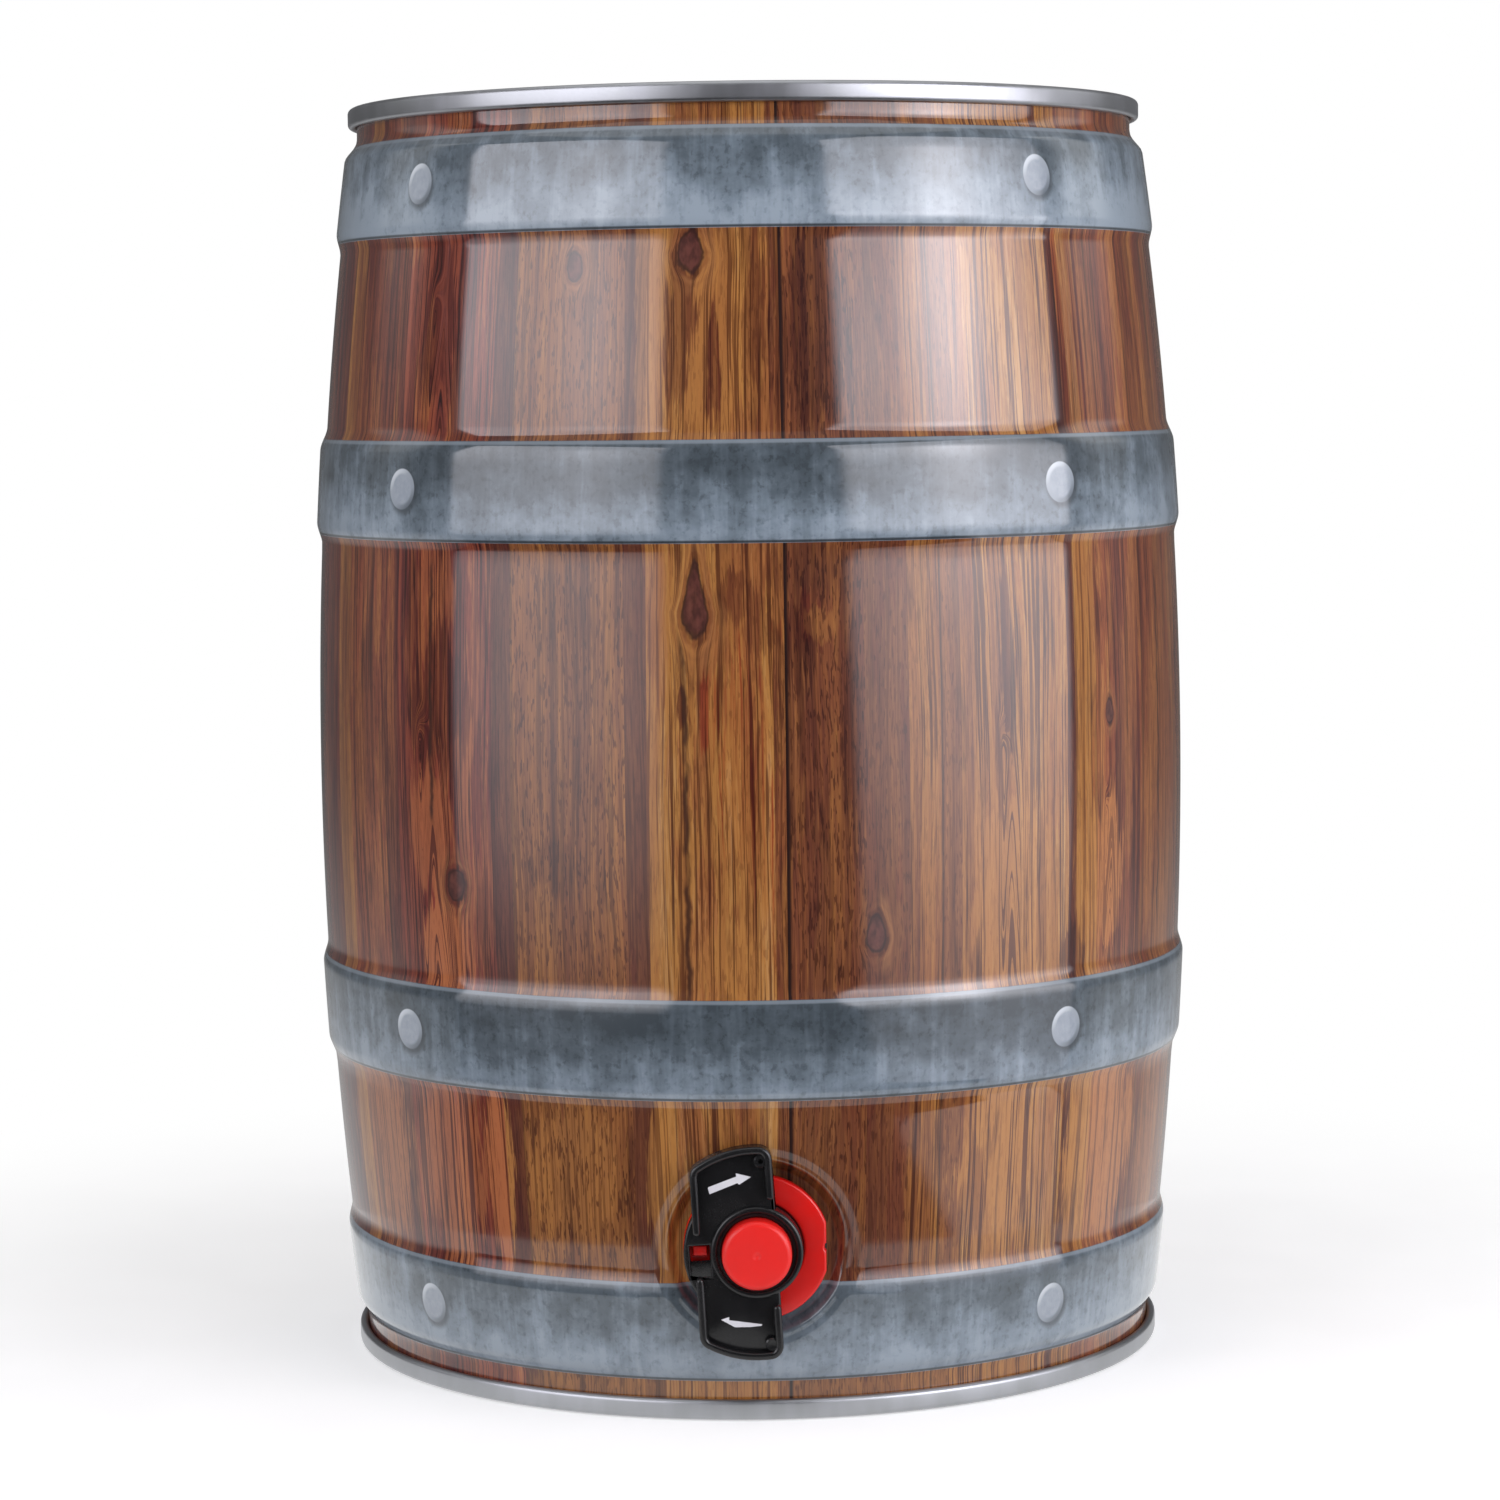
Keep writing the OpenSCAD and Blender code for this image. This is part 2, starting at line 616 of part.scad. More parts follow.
// Black handle: wings with rims, half disc with a window, hub and valve sleeve in one moulding
module valve_handle() {
    boss_x = wing_right - rim_w - boss_r / 2;
    boss_y = sqrt(pow(wing_r - rim_w - boss_r, 2) - pow(boss_x, 2));
    window_x = -disc_r + window_inset;
    keyway_r = bore_r + lug_h + lug_gap;
    keyway_w = lug_w + 2 * lug_gap;
    color(black) at_tap() difference() {
        union() {
            rotate([0, 0, handle_tilt]) {
                translate([0, 0, wing_back]) linear_extrude(plate_t) wings(0);
                translate([0, 0, wing_back]) linear_extrude(rim_face - wing_back) wing_rims();
                for (side = [-1, 1]) translate([boss_x, side * boss_y, wing_back])
                    cylinder(h = rim_face - wing_back, r = boss_r);
                difference() {
                    translate([0, 0, disc_back]) linear_extrude(plate_face - disc_back) half_disc(disc_r);
                    translate([0, 0, disc_back - past]) linear_extrude(wing_back - disc_back + past)
                        half_disc(disc_r - skirt_t);
                }
            }
            translate([0, 0, sleeve_back]) rotate_extrude() polygon([
                [0, 0], [sleeve_r, 0], [sleeve_r, hub_face - hub_edge - sleeve_back],
                [sleeve_r - hub_edge, hub_face - sleeve_back], [0, hub_face - sleeve_back]
            ]);
            rotate_extrude() polygon([
                [bore_r + sleeve_wall / 2, bead_at - bead_len / 2], [sleeve_r, bead_at - bead_len / 2],
                [sleeve_r + bead_h - run_gap, bead_at], [sleeve_r, bead_at + bead_len / 2],
                [bore_r + sleeve_wall / 2, bead_at + bead_len / 2]
            ]);
        }
        rotate([0, 0, handle_tilt]) difference() {
            translate([window_x, -window_h + stub_h, disc_back - past])
                cube([window_w, window_h, plate_face - disc_back + 2 * past]);
            translate([window_x - past, -window_h + stub_h, plate_face])
                rotate([-90 - window_slope, 0, 0]) cube([window_w + 2 * past, window_h, window_h]);
        }
        translate([0, 0, sleeve_back - past]) cylinder(h = guide_back - sleeve_back + past, r = bore_r);
        translate([0, 0, guide_back - past]) cylinder(h = guide_len + 2 * past, r = guide_r);
        intersection() {
            translate([-keyway_r, -keyway_w / 2, plug_front])
                cube([2 * keyway_r, keyway_w, guide_back - plug_front]);
            translate([0, 0, plug_front]) cylinder(h = guide_back - plug_front, r = keyway_r);
        }
        for (at = [wiper_at, spout_seal_at])
            ring(guide_r - past, spout_groove_r, at - (spout_ring_d + groove_room) / 2,
                at + (spout_ring_d + groove_room) / 2);
        for (at = [rear_ring_at, front_ring_at])
            ring(sleeve_groove_r, sleeve_r + past, at - (sleeve_ring_d + groove_room) / 2,
                at + (sleeve_ring_d + groove_room) / 2);
        translate([0, 0, port_at]) rotate([-90, 0, 0]) cylinder(h = sleeve_r + past, r = port_r);
    }
}

module sleeve_front_seal() {
    color(rubber) at_tap() o_ring(sleeve_ring_mid, sleeve_ring_d, front_ring_at);
}

module sleeve_rear_seal() {
    color(rubber) at_tap() o_ring(sleeve_ring_mid, sleeve_ring_d, rear_ring_at);
}

module sleeve_plug() {
    color(white) at_tap() rotate_extrude() polygon([
        [0, sleeve_back - plug_lip], [sleeve_r - run_gap, sleeve_back - plug_lip],
        [sleeve_r - run_gap, sleeve_back], [bore_r - ring_slack, sleeve_back],
        [bore_r - ring_slack, plug_front], [0, plug_front]
    ]);
}

module spout_seal() {
    color(rubber) at_tap() o_ring(spout_ring_mid, spout_ring_d, spout_seal_at);
}

module spout_wiper() {
    color(rubber) at_tap() o_ring(spout_ring_mid, spout_ring_d, wiper_at);
}

// Red spout: tube with a closed front, a pouring hole that faces up at rest, and a stop bead with two lugs
module spout() {
    stop_r = bore_r - lug_gap;
    color(red) at_tap() difference() {
        union() {
            rotate_extrude() polygon([
                [0, spout_back], [spout_r, spout_back], [spout_r, stop_front - stop_len],
                [stop_r, stop_front - stop_len], [stop_r, stop_front], [spout_r, stop_front],
                [spout_r, button_face - button_edge], [spout_r - button_edge, button_face], [0, button_face]
            ]);
            intersection() {
                translate([-bore_r - lug_h, -lug_w / 2, stop_front - stop_len])
                    cube([2 * (bore_r + lug_h), lug_w, stop_len]);
                translate([0, 0, stop_front - stop_len]) cylinder(h = stop_len, r = bore_r + lug_h);
            }
        }
        translate([0, 0, spout_back - past])
            cylinder(h = button_face - spout_front_t - spout_back + past, r = spout_r - spout_wall);
        translate([0, 0, outlet_at]) rotate([-90, 0, 0]) cylinder(h = spout_r + past, r = outlet_r);
    }
}

keg_body();
top_end();
bottom_end();
top_seam_compound();
bottom_seam_compound();
bung_grommet();
vent_core();
vent_seal();
tap_housing();
wall_gasket();
port_seal();
valve_handle();
sleeve_front_seal();
sleeve_rear_seal();
sleeve_plug();
spout_seal();
spout_wiper();
spout();
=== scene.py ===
import math
from types import SimpleNamespace

import bmesh
import bpy
from mathutils import Matrix, Vector


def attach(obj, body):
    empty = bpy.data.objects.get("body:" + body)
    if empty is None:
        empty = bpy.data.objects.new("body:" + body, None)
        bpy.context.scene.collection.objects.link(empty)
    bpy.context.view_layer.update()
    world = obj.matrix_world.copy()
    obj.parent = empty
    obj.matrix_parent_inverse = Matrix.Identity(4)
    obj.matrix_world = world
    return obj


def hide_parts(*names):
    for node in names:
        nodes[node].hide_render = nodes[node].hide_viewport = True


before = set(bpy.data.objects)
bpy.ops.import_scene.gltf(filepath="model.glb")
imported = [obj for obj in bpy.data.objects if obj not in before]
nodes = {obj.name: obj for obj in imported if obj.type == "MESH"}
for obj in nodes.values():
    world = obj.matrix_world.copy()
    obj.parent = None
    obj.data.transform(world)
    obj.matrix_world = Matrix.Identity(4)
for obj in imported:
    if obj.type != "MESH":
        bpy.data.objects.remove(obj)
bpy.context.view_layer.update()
mm = 0.001
print("frame loaded with", len(nodes), "nodes")

scene = bpy.context.scene


# node helpers, for materials and for geometry alike
# a Signal is a value in a node tree, and sums with it are written with the usual signs
class Signal:
    def __init__(self, socket):
        self.socket, self.tree = socket, socket.id_data

    def __add__(self, other):
        return calc("ADD", self, other)

    def __radd__(self, other):
        return calc("ADD", other, self)

    def __sub__(self, other):
        return calc("SUBTRACT", self, other)

    def __rsub__(self, other):
        return calc("SUBTRACT", other, self)

    def __mul__(self, other):
        return calc("MULTIPLY", self, other)

    def __truediv__(self, other):
        return calc("DIVIDE", self, other)

    def __abs__(self):
        return calc("ABSOLUTE", self)


def addNode(tree, kind, **settings):
    node = tree.nodes.new(kind)
    for key, value in settings.items():
        setattr(node, key, value)
    return node


def treeOf(*values):
    return next(value.tree for value in values if isinstance(value, Signal))


def feed(socket, value):
    if isinstance(value, Signal):
        value = value.socket
    if isinstance(value, bpy.types.NodeSocket):
        socket.id_data.links.new(value, socket)
    else:
        socket.default_value = value


def calc(operation, *values, clamp=False):
    node = addNode(treeOf(*values), "ShaderNodeMath", operation=operation, use_clamp=clamp)
    for socket, value in zip(node.inputs, values):
        feed(socket, value)
    return Signal(node.outputs[0])


def most(first, second):
    return calc("MAXIMUM", first, second)


def span(across, along):
    return calc("SQRT", across * across + along * along)


def ease(value, low, high, start=0.0, end=1.0):
    node = addNode(treeOf(value, low, high, start, end), "ShaderNodeMapRange", interpolation_type="SMOOTHSTEP")
    for name, item in (("Value", value), ("From Min", low), ("From Max", high), ("To Min", start), ("To Max", end)):
        feed(node.inputs[name], item)
    return Signal(node.outputs["Result"])


def joinAxes(*values):
    node = addNode(treeOf(*values), "ShaderNodeCombineXYZ")
    for socket, value in zip(node.inputs, values):
        feed(socket, value)
    return Signal(node.outputs[0])


def splitAxes(vector):
    node = addNode(vector.tree, "ShaderNodeSeparateXYZ")
    feed(node.inputs[0], vector)
    return [Signal(socket) for socket in node.outputs]


def noise(vector, scale=1.0, detail=2.0, roughness=0.5):
    node = addNode(vector.tree, "ShaderNodeTexNoise", noise_dimensions="3D")
    for name, value in (("Vector", vector), ("Scale", scale), ("Detail", detail), ("Roughness", roughness),
                        ("Distortion", 0.0)):
        feed(node.inputs[name], value)
    return Signal(node.outputs["Fac"])


def mixColor(share, first, second, blend="MIX"):
    node = addNode(treeOf(share, first, second), "ShaderNodeMix", data_type="RGBA", blend_type=blend,
                   clamp_factor=True)
    feed(node.inputs[0], share)
    for socket, value in ((node.inputs[6], first), (node.inputs[7], second)):
        feed(socket, (*value, 1.0) if isinstance(value, tuple) else value)
    return Signal(node.outputs[2])


def ramp(value, stops, mode="LINEAR"):
    node = addNode(value.tree, "ShaderNodeValToRGB")
    node.color_ramp.interpolation = mode
    spots = node.color_ramp.elements
    while len(spots) < len(stops):
        spots.new(1.0)
    for spot, (at, color) in zip(spots, stops):
        spot.position = at
        spot.color = (*color, 1.0)
    feed(node.inputs[0], value)
    return Signal(node.outputs["Color"])


def groupInputs(tree):
    return {socket.name: Signal(socket) for socket in addNode(tree, "NodeGroupInput").outputs}


def addBump(shader, height, strength, depth):
    node = addNode(height.tree, "ShaderNodeBump")
    for name, value in (("Strength", strength), ("Distance", depth), ("Height", height)):
        feed(node.inputs[name], value)
    feed(shader.inputs["Normal"], node.outputs[0])


def newMaterial(name):
    material = bpy.data.materials.new(name)
    material.use_nodes = True
    tree = material.node_tree
    spot = Signal(addNode(tree, "ShaderNodeTexCoord").outputs["Object"])
    return material, tree.nodes["Principled BSDF"], spot


# mesh helpers
def meshObject(name, bm, material, smooth=35):
    mesh = bpy.data.meshes.new(name)
    bm.to_mesh(mesh)
    bm.free()
    piece = bpy.data.objects.new(name, mesh)
    scene.collection.objects.link(piece)
    mesh.materials.append(material)
    mesh.shade_smooth()
    mesh.set_sharp_from_angle(angle=math.radians(smooth))
    return piece


def addModifier(piece, name, kind, **settings):
    modifier = piece.modifiers.new(name, kind)
    for key, value in settings.items():
        setattr(modifier, key, value)
    return modifier


def plainMesh(piece):
    made = bpy.data.meshes.new_from_object(piece.evaluated_get(bpy.context.evaluated_depsgraph_get()))
    piece.modifiers.clear()
    piece.data = made
    made.name = piece.name
    return piece


def dress(piece, body, slot, *stoodFor):
    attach(piece, body)
    if stoodFor:
        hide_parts(*stoodFor)


def arc(x, y, radius, start, end, steps):
    turns = [math.radians(start + (end - start) * i / steps) for i in range(steps + 1)]
    return [(x + radius * math.cos(t), y + radius * math.sin(t)) for t in turns]


def circle(radius, count):
    return arc(0, 0, radius, 0, 360, count)[:-1]


def box(x, w, h):
    return [(x + w, -h), (x + w, h), (x - w, h), (x - w, -h)]


def turned(bm, profile, place, count=96):
    # spins a closed profile of (radius, level) round an axis; place gives the point for (x, y, level)
    turns = [2 * math.pi * k / count for k in range(count)]
    rings = []
    for radius, level in profile:
        if radius < 1e-6:
            rings.append([bm.verts.new(place(0, 0, level))])
        else:
            rings.append([bm.verts.new(place(radius * math.cos(t), radius * math.sin(t), level)) for t in turns])
    faces = []
    for a, b in zip(rings, rings[1:] + rings[:1]):
        for k in range(count):
            n = (k + 1) % count
            corners = [a[k % len(a)], a[n % len(a)], b[n % len(b)], b[k % len(b)]]
            corners = [c for i, c in enumerate(corners) if c not in corners[:i]]
            if len(corners) > 2:
                faces.append(bm.faces.new(corners))
    bmesh.ops.recalc_face_normals(bm, faces=faces)


def inward(loop, depth):
    # moves a loop towards its left side, so outer loops run anticlockwise and holes clockwise
    moved = []
    for i, (x, y) in enumerate(loop):
        ax, ay = x - loop[i - 1][0], y - loop[i - 1][1]
        bx, by = loop[(i + 1) % len(loop)][0] - x, loop[(i + 1) % len(loop)][1] - y
        la, lb = math.hypot(ax, ay), math.hypot(bx, by)
        nx, ny = -ay / la - by / lb, ax / la + bx / lb
        share = depth * 2 / (nx * nx + ny * ny)
        moved.append((x + nx * share, y + ny * share))
    return moved


def slab(bm, loops, low, high, edge, place, steps=4):
    # a plate between two levels with a rounded front edge, the first loop outside and the rest holes
    faces, fronts, backs = [], [], []
    for loop in loops:
        turns = [math.pi / 2 * k / steps for k in range(steps + 1)]
        layers = [(0.0, low)] + [(edge * (1 - math.cos(t)), high - edge + edge * math.sin(t)) for t in turns]
        shapes = [(inward(loop, depth) if depth else loop, level) for depth, level in layers]
        rings = [[bm.verts.new(place(x, y, level)) for x, y in shape] for shape, level in shapes]
        for a, b in zip(rings, rings[1:]):
            for k in range(len(a)):
                n = (k + 1) % len(a)
                faces.append(bm.faces.new((a[k], a[n], b[n], b[k])))
        backs.append(rings[0])
        fronts.append(rings[-1])
    for group in (fronts, backs):
        edges = [bm.edges.get((ring[k], ring[(k + 1) % len(ring)])) for ring in group for k in range(len(ring))]
        made = bmesh.ops.triangle_fill(bm, use_beauty=True, edges=edges)
        faces += [item for item in made["geom"] if isinstance(item, bmesh.types.BMFace)]
    bmesh.ops.recalc_face_normals(bm, faces=faces)


# printed sheet: wood staves, four grey hoops and their rivets, under a clear lacquer
printLook = dict(
    radius=86.0,  # arc length in the print is measured on this radius
    # boards and the bands in them, from left to right:
    # start, tone, redness, dark joint, long lines, short flecks, contrast
    boards=((-178, 0.50, 0.5, 0.4, 0.6, 0.4, 0.8), (-159, 0.60, 0.3, 0.6, 0.4, 0.7, 0.5),
            (-140, 0.46, 0.8, 0.3, 0.7, 0.3, 0.9), (-121, 0.70, 0.4, 0.7, 0.35, 0.2, 0.5),
            (-102, 0.52, 0.6, 0.4, 0.7, 0.5, 0.7), (-85, 0.44, 0.9, 0.5, 0.7, 0.3, 0.9),
            (-68, 0.64, 0.4, 0.5, 0.5, 0.3, 0.6), (-63.5, 0.50, 0.8, 0.0, 0.85, 0.4, 1.1),
            (-51.2, 0.60, 0.95, 0.35, 1.0, 0.2, 1.35), (-33.8, 0.32, 0.6, 0.0, 0.5, 0.4, 0.4),
            (-31.2, 0.59, 0.1, 0.4, 0.6, 0.9, 0.7), (-16.1, 0.34, 0.5, 0.15, 0.5, 0.3, 0.4),
            (-14.0, 0.84, 0.3, 0.0, 0.75, 0.2, 0.6), (-10.6, 0.72, 0.4, 0.0, 0.9, 0.35, 1.1),
            (2.0, 0.55, 0.5, 0.0, 0.7, 0.5, 0.7), (4.1, 0.48, 0.4, 1.0, 0.45, 0.9, 0.6),
            (13.0, 0.45, 0.5, 0.0, 0.4, 0.6, 0.4), (18.3, 0.60, 0.2, 0.0, 0.9, 0.3, 0.9),
            (23.6, 0.52, 0.2, 0.7, 0.4, 0.6, 0.4), (26.4, 0.76, 0.3, 0.0, 1.0, 0.2, 1.1),
            (42.3, 0.34, 0.6, 0.55, 0.5, 0.3, 0.5), (44.6, 0.78, 0.3, 0.0, 0.75, 0.2, 0.9),
            (48.9, 0.66, 0.75, 0.0, 0.75, 0.3, 1.0), (60.4, 0.60, 0.7, 0.4, 0.75, 0.4, 0.9),
            (81, 0.66, 0.4, 0.6, 0.4, 0.3, 0.5), (100, 0.50, 0.6, 0.9, 0.35, 0.9, 0.5),
            (119, 0.60, 0.3, 0.4, 0.9, 0.2, 0.8), (138, 0.46, 0.8, 0.6, 0.8, 0.2, 0.9),
            (160, 0.64, 0.4, 0.5, 0.4, 0.6, 0.5)),
    hoopLevels=(16.4, 69.4, 171.1, 227.9),
    hoopTones=(0.10, -0.14, -0.10, 0.10),
    hoopWidth=18.7,
    rivetTurn=-49.2,
    rivetLift=0.4,
    rivetSpacing=92.0,
    rivetRadius=3.8,
    # turn, level, half width, half height, and how far each is drawn to a point
    knots=((-22.5, 212, 2.0, 3.0, 0.0), (-7, 214, 3.0, 3.8, 0.6), (-6.6, 149.5, 2.8, 5.6, 1.0),
           (-39.9, 98, 2.5, 3.5, 0.0), (15.2, 90, 2.3, 3.6, 0.3), (52, 128, 1.4, 2.6, 0.3), (95, 152, 3.0, 5.0, 0.8),
           (128, 98, 2.4, 3.2, 0.0), (171, 140, 3.2, 6.0, 1.0), (-110, 120, 2.6, 4.0, 0.2),
           (-150, 205, 2.4, 3.4, 0.0)),
    # turn, top, half width, height and steepness of arched growth rings
    arches=((-44.2, 128, 5.6, 50, 9), (34, 126, 3.6, 48, 13), (-43, 208, 5, 27, 10), (52, 112, 3.5, 34, 11),
            (112, 152, 6, 74, 9), (-160, 150, 6, 72, 10), (-95, 210, 6, 29, 9)),
    # turn, from, to, width
    cracks=((-7.9, 79, 140, 0.5), (-44, 112, 155, 0.45), (66, 90, 150, 0.4), (150, 85, 160, 0.4),
            (-128, 84, 140, 0.4)),
    # turn, level, half width, half height and strength of dark, reddish and golden places
    stains=((-42.6, 134, 8.0, 13.5, 0.85), (-45.2, 124, 1.7, 5, 1.0), (-47.5, 148, 1.6, 10, 0.5),
            (-8.7, 200, 2.0, 14, 0.85), (-4, 194, 1.5, 12, 1.0), (-25, 103, 6, 6, 0.5), (-24, 152, 5, 9, 0.35),
            (-8.1, 133, 1.1, 4.5, 0.95), (-1.0, 152, 5.0, 5.0, 0.65), (1.6, 146, 3.0, 4.0, 0.6),
            (-8, 206, 2.5, 10, 0.85), (1.4, 203, 2.2, 16, 0.75), (7.5, 158, 8, 6, 0.4), (6, 145, 2.4, 10, 0.7),
            (12.6, 128, 2.6, 22, 0.6), (9, 203, 7, 22, 0.75), (33.8, 142, 1.7, 17, 0.95), (32, 122, 0.9, 12, 0.7),
            (39, 96, 1.3, 16, 0.6), (13, 45, 10, 14, 0.15), (-44, 204, 5, 18, 0.8), (49, 203, 9, 26, 0.5),
            (45, 189, 3.2, 15, 0.95), (44.6, 84, 3.0, 6, 0.9), (-35, 92, 3, 10, 0.5), (-57, 132, 6, 20, 0.5),
            (-17, 44, 2, 14, 0.5), (29, 40, 3, 10, 0.6), (100, 130, 7, 24, 0.8), (-170, 120, 7, 26, 0.8),
            (-80, 140, 7, 26, 0.8), (118, 200, 7, 14, 0.7), (-140, 45, 9, 12, 0.6)),
    reddish=((-1.0, 122, 4.2, 22, 1.0), (-4.8, 132, 2.4, 8, 1.0), (1.6, 112, 1.6, 26, 1.0), (-45, 92, 3, 14, 0.8),
             (7, 148, 5, 5, 0.7), (-3, 205, 2, 12, 0.7), (49, 203, 9, 28, 0.9), (50, 110, 5, 30, 0.5),
             (-112, 100, 3, 18, 0.8), (88, 120, 3, 20, 0.8)),
    golden=((-45, 108, 6.5, 12, 0.5), (-3, 84, 7, 10, 0.4), (-4, 199, 8, 20, 0.6), (38, 95, 4.5, 18, 0.35),
            (-42.5, 86, 8, 11, 0.8), (-43, 154, 5, 8, 0.4), (50.5, 98, 7, 14, 0.95), (34, 98, 10, 22, 0.6),
            (-24, 45, 9, 16, 0.45), (-35.5, 45, 3.5, 18, 0.85), (9, 46, 5, 16, 0.12), (-12, 45, 3, 16, 0.6),
            (-12.3, 204, 2.6, 40, 0.4), (-26, 90, 2, 12, 0.3), (8.7, 147, 3, 3, 0.3), (46.8, 120, 3.0, 60, 0.3),
            (66, 112, 8, 40, 0.25), (-58, 120, 3, 60, 0.2), (-60, 45, 12, 20, 0.6), (-44, 45, 10, 16, 0.6),
            (33, 46, 10, 18, 0.8), (52, 46, 12, 20, 0.9), (66, 45, 8, 20, 0.4), (0, 3.5, 60, 5, 0.3),
            (140, 110, 8, 30, 0.3), (-120, 100, 8, 30, 0.25), (176, 60, 9, 30, 0.3), (108, 50, 8, 24, 0.3)),
    # sizes of the grain across and along the boards
    broad=(7, 190), streak=(1.8, 140), lines=(0.6, 60), fibre=(0.36, 9), pores=(0.38, 3.0), spikes=(0.9, 45),
    clumps=(6.0, 34), flecks=(2.6, 15), sway=(22, 110),
    # wood from dark to pale, the tints that darken it and the colours laid on it
    woodTones=((0.0, (0.030, 0.010, 0.008)), (0.2, (0.070, 0.019, 0.012)), (0.4, (0.128, 0.040, 0.017)),
               (0.55, (0.195, 0.068, 0.021)), (0.7, (0.282, 0.110, 0.027)), (0.85, (0.348, 0.153, 0.037)),
               (1.0, (0.43, 0.222, 0.075))),
    reddishTint=(0.86, 0.44, 0.52), clumpTint=(0.62, 0.31, 0.60), redBoardTint=(0.96, 0.71, 1.02),
    stainTint=(0.34, 0.20, 0.32),
    lineTint=(0.26, 0.17, 0.22), sootTint=(0.38, 0.32, 0.40), ringTint=(0.50, 0.36, 0.40),
    litEdgeTint=(1.4, 1.5, 1.6),
    gold=(0.40, 0.172, 0.042), halo=(0.40, 0.175, 0.058), heart=((0.048, 0.014, 0.012), (0.110, 0.033, 0.025)),
    knotEdge=(0.020, 0.007, 0.006),
    crack=(0.034, 0.011, 0.007), joint=(0.016, 0.006, 0.005),
    # greys of the hoops and of their rivets
    hoopGreys=((0.0, (0.040, 0.052, 0.062)), (0.35, (0.082, 0.104, 0.124)), (0.7, (0.165, 0.205, 0.245)),
               (1.0, (0.250, 0.300, 0.350))),
    hoopTopLine=(0.24, 0.28, 0.32), hoopLowLine=(0.012, 0.014, 0.016),
    rivetGreys=((0.0, (0.11, 0.13, 0.155)), (0.3, (0.25, 0.285, 0.325)), (0.7, (0.30, 0.335, 0.375)),
                (1.0, (0.56, 0.60, 0.64))),
    rivetTop=((0.255, 0.29, 0.335), (0.30, 0.335, 0.38)), rivetShadow=(0.030, 0.036, 0.042),
)


def knotGroup():
    tree = bpy.data.node_groups.new("knotInBoard", "ShaderNodeTree")
    for name in ("Across", "Level", "Wobble", "Knot Across", "Knot Level", "Half Width", "Half Height", "Point"):
        tree.interface.new_socket(name, in_out="INPUT", socket_type="NodeSocketFloat")
    for name in ("Core", "Halo", "Rings", "Shift"):
        tree.interface.new_socket(name, in_out="OUTPUT", socket_type="NodeSocketFloat")
    start, end = groupInputs(tree), addNode(tree, "NodeGroupOutput").inputs
    dx = start["Across"] - start["Knot Across"]
    dz = start["Level"] - start["Knot Level"]
    ex = dx / start["Half Width"]
    ez = dz / start["Half Height"]
    rise = most(ez, 0.0) * start["Point"]
    ex = ex * calc("MULTIPLY_ADD", rise, 0.7, 1.0)  # drawn to a point above, like a drop
    ez = ez - rise * 0.45
    square = ex * ex + ez * ez
    far = calc("SQRT", square) + start["Wobble"]
    wave = calc("MULTIPLY_ADD", calc("SINE", far * 13.0), 0.5, 0.5)
    feed(end["Core"], ease(far, 0.66, 1.0, 1.0, 0.0))
    feed(end["Halo"], ease(far, 0.9, 1.2) * ease(far, 1.2, 2.5, 1.0, 0.0))
    feed(end["Rings"], wave * ease(far, 0.7, 2.1, 1.0, 0.0))
    feed(end["Shift"], dx * -1.1 / most(square * square, 1.7))
    return tree


